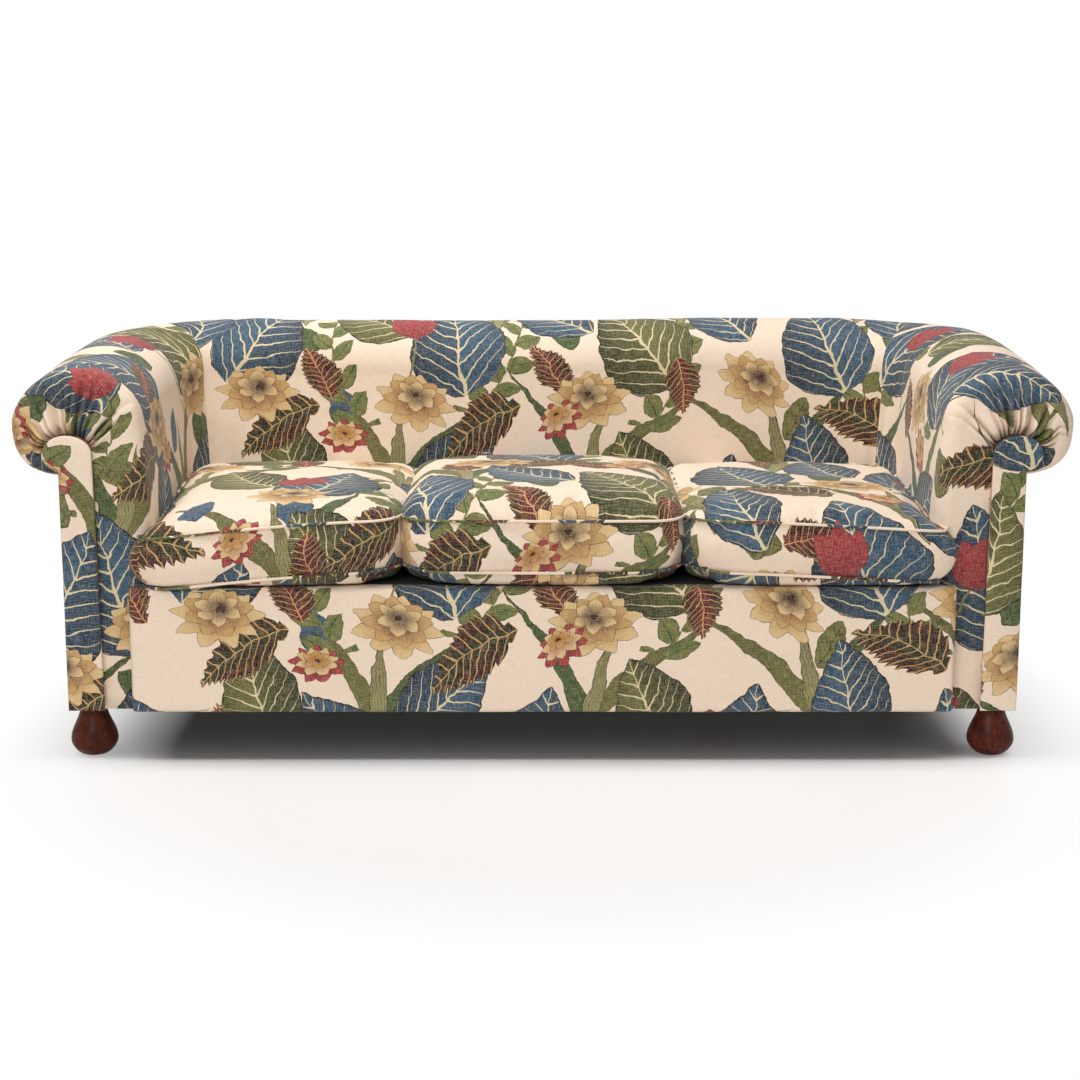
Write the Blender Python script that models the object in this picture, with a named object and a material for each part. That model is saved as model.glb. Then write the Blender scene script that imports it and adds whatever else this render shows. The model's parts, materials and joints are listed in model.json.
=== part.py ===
"""A roll-arm chesterfield sofa: hardwood frame, coil-sprung seat, rolled padding and three loose cushions.

Metres, +Z up, the front faces -Y and the origin is on the floor under the middle of the sofa.
"""

import math

import bmesh
import bpy
from mathutils import Matrix, Vector

# Overall sizes
OVERALL_WIDTH = 2.020
OVERALL_DEPTH = 0.905
BACK_HEIGHT = 0.789
ARM_HEIGHT = 0.762
FOOT_HEIGHT = 0.099
SEAT_HEIGHT = 0.346

# The roll that runs along one arm, round the back and along the other arm
ROLL_WIDTH = 0.238
ROLL_RISE = 0.104
ROLL_DROP = 0.095
ROLL_FULLNESS = 2.8
ROLL_OVERHANG = 0.094
ROLL_FRONT_RADIUS = 0.030
CORNER_RADIUS = 0.250
ARM_LEAN = 0.015
BACK_LEAN = 0.035
INSIDE_CROWN = 0.006

# Upholstery
COVER = 0.002
SIDE_PADDING = 0.049
TOP_PADDING = 0.122
PANEL = 0.003
FACING_WIDTH = 0.0705
FACING_THICKNESS = 0.019
FACING_HEAD_WIDTH = 0.095
FACING_HEAD_DROP = 0.122
FACING_HEAD_SHIFT = 0.017
FACING_EDGE = 0.007
STRIP_WIDTH = 0.0475
GATHER_GAP = 0.001
GATHER_END = math.radians(45)
PLEAT_RIDGE = 0.012
PLEAT_FOLD = 0.004
BORDER_PROUD = 0.036
BORDER_EDGE = 0.012
DUST_COVER = 0.001

# Hardwood frame
TOP_RAIL_HEIGHT = 0.040
TOP_RAIL_OVERHANG = 0.050
SEAT_RAIL = 0.032
TACK_RAIL = 0.025
TACK_RAIL_HEIGHT = 0.040
TACK_RAIL_DROP = 0.008
ARM_POST_DEPTH = 0.064
BACK_POST_WIDTH = 0.070
STAY_WIDTH = 0.050
CROSS_RAIL = 0.030
CROSS_RAIL_HEIGHT = 0.070
CORNER_BLOCK = 0.070
CORNER_BLOCK_HEIGHT = 0.090
WOOD_EDGE = 0.002

# Seat springing
WEB_WIDTH = 0.050
WEB_THICKNESS = 0.0025
WEB_LAP = 0.020
HESSIAN = 0.002
SEAT_STUFFING = 0.074
SPRING_RADIUS = 0.050
SPRING_WAIST = 0.037
SPRING_WIRE = 0.0038
SPRING_TURNS = 4
SPRING_SPREAD = 0.130
SPRING_ROW_SETBACK = 0.200
SPRING_ROW_SPACING = 0.250

# Loose seat cushions
MIDDLE_CUSHION = 0.544
CUSHION_BORDER = 0.097
CUSHION_CROWN = 0.058
CUSHION_BELLY = 0.035
CUSHION_FLAT = 0.80
CUSHION_FULLNESS = 1.2
CUSHION_CORNER = 0.045
CUSHION_DRAW_IN = 0.006
CUSHION_SWELL = 0.005
CUSHION_SETBACK = 0.004
CUSHION_GAP = 0.003

# Turned feet
FOOT_BELLY_RADIUS = 0.046
FOOT_BELLY_HEIGHT = 0.036
FOOT_NECK_RADIUS = 0.0255
FOOT_BASE_RADIUS = 0.024
FOOT_INSET = 0.030
FOOT_SETBACK = 0.035
SPIGOT_RADIUS = 0.011
SPIGOT_LENGTH = 0.040

# Clearances between neighbours
GAP = 0.0003
TOP_RAIL_SLIP = 0.0009
PADDING_SLIP = 0.0006
SEAM = 0.0016
SPIGOT_SLIP = 0.0003
FOOT_HOLE_SLIP = 0.0015

# How finely the round forms are cut into facets
QUARTER_STEPS = 8
CORNER_STEPS = 3
FRONT_STEPS = 3
FOOT_SIDES = 16
FOOT_RINGS = 5
SPRING_POINTS = 9
CUSHION_CORNER_STEPS = 4
CUSHION_SIDE_STEPS = 6
CUSHION_BELLY_STEPS = 3
CUSHION_CROWN_STEPS = 6

# The roll's crest line in plan, and the layers that stand on either side of it
CREST_X = OVERALL_WIDTH / 2 - ROLL_WIDTH / 2
CREST_Y = OVERALL_DEPTH / 2 - ROLL_WIDTH / 2
BORDER_FRONT_Y = -OVERALL_DEPTH / 2
ARM_FRONT_Y = BORDER_FRONT_Y + BORDER_PROUD
CORNER_X = CREST_X - CORNER_RADIUS
CORNER_Y = CREST_Y - CORNER_RADIUS
SKIN = COVER + GAP
PADDING_SKIN = COVER + PADDING_SLIP
FRAME_FRONT_Y = ARM_FRONT_Y + SKIN
OUTSIDE = ROLL_WIDTH / 2 - ROLL_OVERHANG
FRAME_OUT = OUTSIDE - PANEL - GAP
FRAME_IN = SIDE_PADDING - ROLL_WIDTH / 2
TIMBER_IN = FRAME_IN + GAP
BORDER_HALF = CREST_X + OUTSIDE - FACING_WIDTH - STRIP_WIDTH

# Lengths along the crest line, from an arm front to the middle of the back corner and to the back
STRAIGHT_RUN = CORNER_Y - ARM_FRONT_Y
MITRE_RUN = STRAIGHT_RUN + CORNER_RADIUS * math.pi / 4
BACK_RUN = STRAIGHT_RUN + CORNER_RADIUS * math.pi / 2
ARM_POST_RUN = SKIN + ARM_POST_DEPTH + GAP

# Levels, from the underside up
BODY_BOTTOM = FOOT_HEIGHT - DUST_COVER
POST_BOTTOM = FOOT_HEIGHT + GAP
WEB_BOTTOM = FOOT_HEIGHT + GAP
WEB_TOP = WEB_BOTTOM + WEB_THICKNESS
RAIL_BOTTOM = WEB_TOP + GAP
PLATFORM_BOTTOM = SEAT_HEIGHT - COVER
STUFFING_TOP = PLATFORM_BOTTOM - GAP
STUFFING_BOTTOM = STUFFING_TOP - SEAT_STUFFING
HESSIAN_TOP = STUFFING_BOTTOM - GAP
HESSIAN_BOTTOM = HESSIAN_TOP - HESSIAN
RAIL_TOP = HESSIAN_BOTTOM - GAP
TUCK_LEVEL = SEAT_HEIGHT + GAP
TACK_RAIL_TOP = PLATFORM_BOTTOM - TACK_RAIL_DROP

# Where the back posts fit: between the padding and the bent seat rail
SEAT_RAIL_IN = FRAME_OUT - SEAT_RAIL
HALF_FACET = math.pi / 8 / CORNER_STEPS
POST_INNER = CORNER_RADIUS + TIMBER_IN
POST_REACH = (CORNER_RADIUS + SEAT_RAIL_IN) * math.cos(HALF_FACET) - GAP
POST_OUTER = math.sqrt(POST_REACH**2 - (BACK_POST_WIDTH / 2) ** 2)

# The tack rails lie behind the padding by as much as its facets cut the corner
TACK_IN = TIMBER_IN + POST_INNER * (1 - math.cos(HALF_FACET))
TACK_OUT = TACK_IN + TACK_RAIL

SIDES = {"left": -1, "right": 1}


class Station:
    """A stop along the crest line of one side, with the crest height and the inside lean there."""

    def __init__(self, run, inset=0.0, side=1):
        """Run is the length from the arm front; inset draws the section in from its full outline."""
        turn = min(max((run - STRAIGHT_RUN) / CORNER_RADIUS, 0.0), math.pi / 2)
        along_arm = min(run, STRAIGHT_RUN)
        self.inset = inset
        self.crest = ARM_HEIGHT + (BACK_HEIGHT - ARM_HEIGHT) * run / BACK_RUN
        self.rail_top = self.crest - TOP_PADDING
        self.rail_bottom = self.rail_top - TOP_RAIL_HEIGHT
        self.lean = ARM_LEAN + (BACK_LEAN - ARM_LEAN) * turn / (math.pi / 2)
        self.outward = Vector((side * math.cos(turn), math.sin(turn), 0))
        start_y = ARM_FRONT_Y + along_arm if run < STRAIGHT_RUN else CORNER_Y
        centre = Vector((side * CORNER_X, start_y, 0))
        self.point = centre + self.outward * CORNER_RADIUS

    def place(self, out, height):
        """The point at a distance outside the crest line and a height above the floor."""
        return self.point + self.outward * out + Vector((0, 0, height))


def arm_stations(first_run, last_run, inset=0.0, side=1):
    """Stations along an arm and into its back corner, from the front to the last run."""
    turn = (last_run - STRAIGHT_RUN) / CORNER_STEPS
    runs = [first_run] + [STRAIGHT_RUN + turn * step for step in range(CORNER_STEPS + 1)]
    return [Station(run, inset, side) for run in runs]


def back_stations(first_run, inset=0.0):
    """Stations round the back, from a run in the right corner to the same run in the left one."""
    turn = (BACK_RUN - first_run) / CORNER_STEPS
    runs = [first_run + turn * step for step in range(CORNER_STEPS + 1)]
    right = [Station(run, inset, 1) for run in runs]
    left = [Station(run, inset, -1) for run in reversed(runs)]
    return right + left


def front_stations(skin, side):
    """Stations that round the front of an arm, for a layer that lies a skin below the outline."""
    stations = []
    for step in range(FRONT_STEPS + 1):
        angle = math.pi / 2 * step / FRONT_STEPS
        radius = ROLL_FRONT_RADIUS - skin
        depth = ROLL_FRONT_RADIUS - radius * math.cos(angle)
        inset = ROLL_FRONT_RADIUS - radius * math.sin(angle)
        stations.append(Station(depth, inset, side))
    return stations


def hook_outline(stop):
    """The inside face, the roll over the top and its full underside, as distances out and heights."""
    half_width = ROLL_WIDTH / 2 - stop.inset
    centre = stop.crest - ROLL_RISE
    foot = stop.inset - ROLL_WIDTH / 2 - stop.lean
    crown = (foot - half_width) / 2 - INSIDE_CROWN
    points = [(foot, TUCK_LEVEL), (crown, (TUCK_LEVEL + centre) / 2)]
    for turn in roll_turns():
        rise = (ROLL_RISE - stop.inset) * math.sin(turn)
        points.append((half_width * math.cos(turn), centre + rise))
    under_turn = math.acos(((OUTSIDE + SKIN) / half_width) ** (ROLL_FULLNESS / 2))
    for step in range(1, QUARTER_STEPS + 1):
        turn = under_turn * step / QUARTER_STEPS
        out = half_width * math.cos(turn) ** (2 / ROLL_FULLNESS)
        drop = (ROLL_DROP - stop.inset) * math.sin(turn) ** (2 / ROLL_FULLNESS)
        points.append((out, centre - drop))
    return points


def roll_turns():
    """Angles over the top of the roll, from its inner side to its outer one."""
    return [math.pi - math.pi / 2 * step / QUARTER_STEPS for step in range(2 * QUARTER_STEPS + 1)]


def padding_section(stop):
    """The padding's section: the hook outside, and inside the step that sits on the top rail."""
    ledge = stop.rail_bottom - TOP_RAIL_SLIP
    shelf = stop.rail_top + TOP_RAIL_SLIP
    return hook_outline(stop) + [
        (OUTSIDE + GAP, ledge),
        (OUTSIDE + TOP_RAIL_OVERHANG, ledge),
        (OUTSIDE + TOP_RAIL_OVERHANG, shelf),
        (FRAME_IN, shelf),
        (FRAME_IN, TUCK_LEVEL),
    ]


def padding_front_section(stop):
    """The padding's section ahead of the top rail, where it is solid above the arm post."""
    floor = arm_post_top() + GAP
    width = OUTSIDE + GAP - FRAME_IN
    return hook_outline(stop) + [
        (OUTSIDE + GAP, floor),
        (OUTSIDE + GAP - width / 3, floor),
        (FRAME_IN + width / 3, floor),
        (FRAME_IN, floor),
        (FRAME_IN, TUCK_LEVEL),
    ]


def box_corners(inner, outer, bottom, top):
    """The corners of a rectangular section, in order."""
    return [(inner, bottom), (inner, top), (outer, top), (outer, bottom)]


def seat_rail_section(stop):
    """The rail at the bottom of the frame, against the outside panel."""
    return box_corners(SEAT_RAIL_IN, FRAME_OUT, RAIL_BOTTOM, RAIL_TOP)


def tack_rail_section(stop):
    """The rail at seat level that the inside covers are tacked to."""
    return box_corners(TACK_IN, TACK_OUT, TACK_RAIL_TOP - TACK_RAIL_HEIGHT, TACK_RAIL_TOP)


def top_rail_section(stop):
    """The wide rail that carries the roll and climbs with it."""
    return box_corners(TIMBER_IN, OUTSIDE + TOP_RAIL_OVERHANG - GAP, stop.rail_bottom, stop.rail_top)


def panel_section(stop):
    """The outside panel, from the base to the underside of the top rail."""
    return box_corners(OUTSIDE - PANEL, OUTSIDE, BODY_BOTTOM, stop.rail_bottom - TOP_RAIL_SLIP)


def finish(name, mesh, material, place=(0, 0, 0)):
    """Make an object of a mesh, give it its material and stand it in the sofa."""
    piece = bpy.data.objects.new(name, mesh)
    piece.location = place
    piece.parent = SOFA
    mesh.materials.append(material)
    bpy.context.collection.objects.link(piece)
    return piece


def finish_bmesh(name, bm, material, place=(0, 0, 0), smooth_angle=40):
    """Turn a closed bmesh into an object, with its faces outward and its round parts smooth."""
    bmesh.ops.recalc_face_normals(bm, faces=bm.faces)
    return finish_sheet(name, bm, material, place, smooth_angle)


def finish_sheet(name, bm, material, place=(0, 0, 0), smooth_angle=40):
    """Turn a bmesh whose faces already point outward into an object."""
    mesh = bpy.data.meshes.new(name)
    bm.to_mesh(mesh)
    bm.free()
    mesh.shade_smooth()
    mesh.set_sharp_from_angle(angle=math.radians(smooth_angle))
    return finish(name, mesh, material, place)


def join_rings(bm, rings, closed):
    """Faces between each ring of vertices and the next."""
    for ring, following in zip(rings, rings[1:]):
        last = len(ring) if closed else len(ring) - 1
        for here in range(last):
            there = (here + 1) % len(ring)
            bm.faces.new((ring[here], ring[there], following[there], following[here]))


def sweep_rings(bm, stations, section):
    """A ring of vertices at each station, on a section that is given in its plane."""
    return [[bm.verts.new(stop.place(out, height)) for out, height in section(stop)] for stop in stations]


def sweep_solid(name, bm, rings, material):
    """Join rings into a solid with closed ends."""
    join_rings(bm, rings, closed=True)
    bm.faces.new(rings[0])
    bm.faces.new(rings[-1])
    return finish_bmesh(name, bm, material)


def sweep(name, stations, section, material):
    """Carry one closed section from station to station."""
    bm = bmesh.new()
    return sweep_solid(name, bm, sweep_rings(bm, stations, section), material)


def thicken(piece, thickness):
    """Give a sheet its thickness on the side away from its faces."""
    wall = piece.modifiers.new("thickness", "SOLIDIFY")
    wall.thickness = thickness
    wall.offset = -1
    wall.use_even_offset = True


def block(name, low, high, material, edge=WOOD_EDGE):
    """A box between two corners with its edges eased."""
    low = Vector(low)
    high = Vector(high)
    bm = bmesh.new()
    bmesh.ops.create_cube(bm, size=1)
    bmesh.ops.scale(bm, vec=high - low, verts=bm.verts)
    if edge:
        bmesh.ops.bevel(bm, geom=bm.edges[:], offset=edge, segments=1, profile=0.5, affect="EDGES")
    return finish_bmesh(name, bm, material, (low + high) / 2, smooth_angle=20)


def slab(name, outline, bottom, top, material):
    """A flat sheet of a given outline between two heights."""
    bm = bmesh.new()
    face = bm.faces.new([bm.verts.new((x, y, bottom)) for x, y in outline])
    raised = bmesh.ops.extrude_face_region(bm, geom=[face])["geom"]
    lifted = [item for item in raised if isinstance(item, bmesh.types.BMVert)]
    bmesh.ops.translate(bm, vec=(0, 0, top - bottom), verts=lifted)
    return finish_bmesh(name, bm, material)


def plan_outline(out, front_y):
    """The sofa's plan at a distance outside the crest line, from one arm front to the other."""
    stations = [Station(0)] + arm_stations(STRAIGHT_RUN, MITRE_RUN)[1:] + back_stations(MITRE_RUN)[1:]
    stations += arm_stations(STRAIGHT_RUN, MITRE_RUN, side=-1)[-2::-1] + [Station(0, side=-1)]
    outline = [stop.place(out, 0).to_2d() for stop in stations]
    for corner in (outline[0], outline[-1]):
        corner.y = front_y
    return outline


def cut(piece, cutter):
    """Take a hidden cutter out of a piece."""
    cutter.hide_render = True
    cutter.display_type = "WIRE"
    hole = piece.modifiers.new("cut", "BOOLEAN")
    hole.operation = "DIFFERENCE"
    hole.object = cutter


def drill(piece, place, radius, bottom, top):
    """Cut a round upright hole between two heights."""
    bm = bmesh.new()
    bmesh.ops.create_cone(
        bm, cap_ends=True, segments=FOOT_SIDES, radius1=radius, radius2=radius, depth=top - bottom
    )
    centre = (place[0], place[1], (bottom + top) / 2)
    cut(piece, finish_bmesh(f"{piece.name}_drill", bm, STEEL, centre))


def paint(name, colour, roughness, metallic=0.0):
    """A plain material of one colour."""
    material = bpy.data.materials.new(name)
    material.use_nodes = True
    shader = material.node_tree.nodes["Principled BSDF"]
    shader.inputs["Base Color"].default_value = (*colour, 1)
    shader.inputs["Roughness"].default_value = roughness
    shader.inputs["Metallic"].default_value = metallic
    return material


def front_foot_place(side):
    """Where a front foot stands, under its arm post."""
    return Vector((side * (CREST_X + OUTSIDE - FOOT_INSET), ARM_FRONT_Y + FOOT_SETBACK, 0))


def rear_foot_place(side):
    """Where a rear foot stands, under its back post."""
    middle = (POST_INNER + POST_OUTER) / 2 - CORNER_RADIUS
    return Station(MITRE_RUN, side=side).place(middle, 0)


def arm_post_top():
    """The top of an arm post, under the front end of the top rail."""
    return Station(ROLL_FRONT_RADIUS).rail_bottom - GAP


def build_arm_post(side_name, side):
    """The upright at the front of an arm, bored from below for its foot."""
    inner = side * (CREST_X + TIMBER_IN)
    outer = side * (CREST_X + FRAME_OUT)
    low = (min(inner, outer), FRAME_FRONT_Y, POST_BOTTOM)
    high = (max(inner, outer), FRAME_FRONT_Y + ARM_POST_DEPTH, arm_post_top())
    post = block(f"{side_name}_arm_post", low, high, BEECH)
    bore_foot_hole(post, front_foot_place(side))


def build_back_post(side_name, side):
    """The upright in a back corner, set square to the mitre and bored for its foot."""
    top = Station(MITRE_RUN - BACK_POST_WIDTH).rail_bottom - GAP
    low = (POST_INNER - CORNER_RADIUS, -BACK_POST_WIDTH / 2, POST_BOTTOM)
    high = (POST_OUTER - CORNER_RADIUS, BACK_POST_WIDTH / 2, top)
    post = block(f"{side_name}_back_post", low, high, BEECH)
    corner = Station(MITRE_RUN, side=side)
    turn = math.atan2(corner.outward.y, corner.outward.x)
    post.location = corner.point + Matrix.Rotation(turn, 3, "Z") @ post.location
    post.rotation_euler.z = turn
    bore_foot_hole(post, rear_foot_place(side))


def bore_foot_hole(post, place):
    """The blind hole in a post's end for a foot's spigot."""
    top = FOOT_HEIGHT + SPIGOT_LENGTH + GAP
    drill(post, place, SPIGOT_RADIUS + SPIGOT_SLIP, BODY_BOTTOM - GAP, top)


def build_arm_rails(side_name, side):
    """The seat rail, tack rail and top rail of one arm, bent round to the middle of the corner."""
    end = MITRE_RUN - SEAM / 2
    seat = arm_stations(ARM_POST_RUN, end, side=side)
    sweep(f"{side_name}_seat_rail", seat, seat_rail_section, BEECH)
    tack = arm_stations(ARM_POST_RUN, tack_rail_end(), side=side)
    sweep(f"{side_name}_tack_rail", tack, tack_rail_section, BEECH)
    top = arm_stations(ROLL_FRONT_RADIUS + 2 * GAP, end, side=side)
    sweep(f"{side_name}_top_rail", top, top_rail_section, BEECH)


def tack_rail_end():
    """The run at which a tack rail meets the side of the back post."""
    return MITRE_RUN - CORNER_RADIUS * math.asin((BACK_POST_WIDTH / 2 + GAP) / POST_INNER)


def build_back_rails():
    """The seat rail, tack rail and top rail of the back."""
    start = MITRE_RUN + SEAM / 2
    stations = back_stations(start)
    sweep("back_seat_rail", stations, seat_rail_section, BEECH)
    tack = back_stations(2 * MITRE_RUN - tack_rail_end())
    sweep("back_tack_rail", tack, tack_rail_section, BEECH)
    sweep("back_top_rail", stations, top_rail_section, BEECH)


def build_front_rail():
    """The rail between the arm posts, behind the front border."""
    half = CREST_X + FRAME_IN
    low = (-half, FRAME_FRONT_Y, RAIL_BOTTOM)
    high = (half, FRAME_FRONT_Y + SEAT_RAIL, RAIL_TOP)
    block("front_seat_rail", low, high, BEECH)


def build_stay(side_name, side):
    """An upright between the back's seat rail and top rail, behind the tack rail."""
    middle = side * MIDDLE_CUSHION / 2
    front = CREST_Y + TACK_OUT + GAP
    low = (middle - STAY_WIDTH / 2, front, RAIL_TOP + GAP)
    high = (middle + STAY_WIDTH / 2, CREST_Y + FRAME_OUT, Station(BACK_RUN).rail_bottom - GAP)
    block(f"{side_name}_back_stay", low, high, BEECH)


def build_cross_rail(side_name, side):
    """A rail under the seat from the front rail to the back one."""
    middle = side * MIDDLE_CUSHION / 2
    front = FRAME_FRONT_Y + SEAT_RAIL + GAP
    low = (middle - CROSS_RAIL / 2, front, RAIL_BOTTOM)
    high = (middle + CROSS_RAIL / 2, CREST_Y + SEAT_RAIL_IN - GAP, RAIL_BOTTOM + CROSS_RAIL_HEIGHT)
    block(f"{side_name}_cross_rail", low, high, BEECH)


def build_corner_block(side_name, side):
    """The three-cornered block glued between the front rail and an arm post."""
    post_x = CREST_X + FRAME_IN
    rail_y = FRAME_FRONT_Y + SEAT_RAIL + GAP
    outline = [(post_x, rail_y), (post_x, rail_y + CORNER_BLOCK), (post_x - CORNER_BLOCK, rail_y)]
    outline = [(side * x, y) for x, y in outline]
    slab(f"{side_name}_corner_block", outline, RAIL_BOTTOM, RAIL_BOTTOM + CORNER_BLOCK_HEIGHT, BEECH)


def foot_radius(height):
    """The pear-shaped foot's radius: a round belly low down that narrows to a neck."""
    if height < FOOT_BELLY_HEIGHT:
        rise = 1 - height / FOOT_BELLY_HEIGHT
        return FOOT_BASE_RADIUS + (FOOT_BELLY_RADIUS - FOOT_BASE_RADIUS) * math.sqrt(1 - rise**2)
    share = (height - FOOT_BELLY_HEIGHT) / (FOOT_HEIGHT - FOOT_BELLY_HEIGHT)
    return FOOT_NECK_RADIUS + (FOOT_BELLY_RADIUS - FOOT_NECK_RADIUS) * (1 + math.cos(math.pi * share)) / 2


def build_foot(name, place):
    """A turned foot with the spigot that goes up into its post."""
    turns = [math.pi / 2 * step / FOOT_RINGS for step in range(FOOT_RINGS)]
    heights = [FOOT_BELLY_HEIGHT * (1 - math.cos(turn)) for turn in turns]
    neck = FOOT_HEIGHT - FOOT_BELLY_HEIGHT
    heights += [FOOT_BELLY_HEIGHT + neck * step / FOOT_RINGS for step in range(FOOT_RINGS + 1)]
    profile = [(0, 0)] + [(foot_radius(height), height) for height in heights]
    spigot_top = FOOT_HEIGHT + SPIGOT_LENGTH
    profile += [(SPIGOT_RADIUS, FOOT_HEIGHT), (SPIGOT_RADIUS, spigot_top), (0, spigot_top)]
    bm = bmesh.new()
    line = [bm.verts.new((radius, 0, height)) for radius, height in profile]
    edges = [bm.edges.new(pair) for pair in zip(line, line[1:])]
    bmesh.ops.spin(
        bm, geom=line + edges, axis=(0, 0, 1), cent=(0, 0, 0), angle=2 * math.pi,
        steps=FOOT_SIDES, use_merge=True, use_duplicate=False,
    )
    bmesh.ops.remove_doubles(bm, verts=bm.verts, dist=0.00001)
    finish_bmesh(name, bm, STAINED_WOOD, place)


def spring_columns():
    """The springs' places across the seat: a pair under each cushion."""
    outer_centre = (MIDDLE_CUSHION / 2 + cushion_side_x()) / 2
    centres = (-outer_centre, 0, outer_centre)
    return [centre + shift * SPRING_SPREAD for centre in centres for shift in (-1, 1)]


def spring_rows():
    """The springs' places from front to back."""
    first = ARM_FRONT_Y + SPRING_ROW_SETBACK
    return [first, first + SPRING_ROW_SPACING]


def build_webbing():
    """Woven straps under the springs, tacked under the rails, as one crossed sheet."""
    half = WEB_WIDTH / 2
    end_x = CREST_X + SEAT_RAIL_IN + WEB_LAP
    across = [-end_x, end_x]
    for column in spring_columns():
        across += [column - half, column + half]
    along = [FRAME_FRONT_Y + GAP, CREST_Y + SEAT_RAIL_IN + WEB_LAP]
    for row in spring_rows():
        along += [row - half, row + half]
    across.sort()
    along.sort()
    bm = bmesh.new()
    grid = [[bm.verts.new((x, y, WEB_BOTTOM)) for x in across] for y in along]
    for j in range(len(along) - 1):
        for i in range(len(across) - 1):
            if i % 2 or j % 2:
                bm.faces.new((grid[j][i], grid[j][i + 1], grid[j + 1][i + 1], grid[j + 1][i]))
    loose = [vertex for vertex in bm.verts if not vertex.link_faces]
    bmesh.ops.delete(bm, geom=loose, context="VERTS")
    raised = bmesh.ops.extrude_face_region(bm, geom=bm.faces[:])["geom"]
    lifted = [item for item in raised if isinstance(item, bmesh.types.BMVert)]
    bmesh.ops.translate(bm, vec=(0, 0, WEB_THICKNESS), verts=lifted)
    finish_bmesh("seat_webbing", bm, JUTE)


def spring_path():
    """The points of one waisted coil, from its lowest turn to its highest."""
    low = WEB_TOP + GAP + SPRING_WIRE / 2
    high = HESSIAN_BOTTOM - GAP - SPRING_WIRE / 2
    count = SPRING_TURNS * SPRING_POINTS
    points = []
    for step in range(count + 1):
        share = step / count
        turn = 2 * math.pi * SPRING_TURNS * share
        radius = SPRING_RADIUS - (SPRING_RADIUS - SPRING_WAIST) * math.sin(math.pi * share)
        points.append((radius * math.cos(turn), radius * math.sin(turn), low + (high - low) * share))
    return points


def print_spring_gap():
    """Measure the clear space between one turn of a spring and the next."""
    points = [Vector(point) for point in spring_path()]
    gaps = []
    for here, point in enumerate(points):
        for other in points[here + SPRING_POINTS // 2 + 1 :]:
            gaps.append((other - point).length - SPRING_WIRE)
    print(f"least gap between a spring's turns: {min(gaps) * 1000:.1f} mm")


def build_springs():
    """Coil springs standing on the webbing, in two rows."""
    number = 0
    for y in spring_rows():
        for x in spring_columns():
            number += 1
            curve = bpy.data.curves.new(f"seat_spring_{number}", "CURVE")
            curve.dimensions = "3D"
            curve.bevel_depth = SPRING_WIRE / 2
            curve.bevel_resolution = 0
            curve.use_fill_caps = True
            path = spring_path()
            spline = curve.splines.new("POLY")
            spline.points.add(len(path) - 1)
            for target, point in zip(spline.points, path):
                target.co = (*point, 1)
            finish(f"seat_spring_{number}", curve, STEEL, (x, y, 0))


def build_seat_layers():
    """The hessian over the springs, the stuffing on it, and the platform cover."""
    outline = plan_outline(FRAME_IN - GAP, FRAME_FRONT_Y)
    slab("spring_hessian", outline, HESSIAN_BOTTOM, HESSIAN_TOP, JUTE)
    slab("seat_stuffing", outline, STUFFING_BOTTOM, STUFFING_TOP, FIBRE)
    slab("platform_cover", outline, PLATFORM_BOTTOM, SEAT_HEIGHT, LINING)


def build_dust_cover():
    """The cloth under the sofa, cut round the feet."""
    outline = plan_outline(SEAT_RAIL_IN + WEB_LAP, FRAME_FRONT_Y)
    cloth = slab("dust_cover", outline, BODY_BOTTOM, FOOT_HEIGHT, LINING)
    for side in SIDES.values():
        for place in (front_foot_place(side), rear_foot_place(side)):
            drill(cloth, place, FOOT_NECK_RADIUS + FOOT_HOLE_SLIP, BODY_BOTTOM - GAP, FOOT_HEIGHT + GAP)


def border_box(skin):
    """The front border without its back, drawn in by a skin all round."""
    half = BORDER_HALF - GAP - skin
    low = Vector((-half, BORDER_FRONT_Y + skin, BODY_BOTTOM + skin))
    high = Vector((half, ARM_FRONT_Y + COVER, SEAT_HEIGHT - skin))
    bm = bmesh.new()
    bmesh.ops.create_cube(bm, size=1)
    bmesh.ops.scale(bm, vec=high - low, verts=bm.verts)
    bmesh.ops.translate(bm, vec=(low + high) / 2, verts=bm.verts)
    front = [edge for edge in bm.edges if all(vertex.co.y < ARM_FRONT_Y for vertex in edge.verts)]
    bmesh.ops.bevel(bm, geom=front, offset=BORDER_EDGE - skin, segments=3, profile=0.5, affect="EDGES")
    return bm


def build_front_border():
    """The padded border under the cushions and the cover stretched over it."""
    finish_bmesh("front_border_padding", border_box(SKIN), FIBRE)
    bm = border_box(0)
    bmesh.ops.recalc_face_normals(bm, faces=bm.faces)
    back = [face for face in bm.faces if face.normal.y > 0.99]
    bmesh.ops.delete(bm, geom=back, context="FACES")
    thicken(finish_sheet("front_border_cover", bm, PRINTED_LINEN), COVER)


def build_arm_padding(side_name, side):
    """The padding of one arm, rounded at the front and hooked over the top rail."""
    front = front_stations(PADDING_SKIN, side)
    rest = arm_stations(ROLL_FRONT_RADIUS + GAP, MITRE_RUN - SEAM / 2, PADDING_SKIN, side)
    bm = bmesh.new()
    rings = sweep_rings(bm, front, padding_front_section) + sweep_rings(bm, rest, padding_section)
    sweep_solid(f"{side_name}_arm_padding", bm, rings, FIBRE)


def build_back_padding():
    """The padding of the back, from corner to corner."""
    sweep("back_padding", back_stations(MITRE_RUN + SEAM / 2, PADDING_SKIN), padding_section, FIBRE)


def cover_sheet(stations):
    """A sheet over the hook outline at each station, as a bmesh and its rings."""
    bm = bmesh.new()
    rings = sweep_rings(bm, stations, hook_outline)
    join_rings(bm, rings, closed=False)
    return bm, rings


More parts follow.
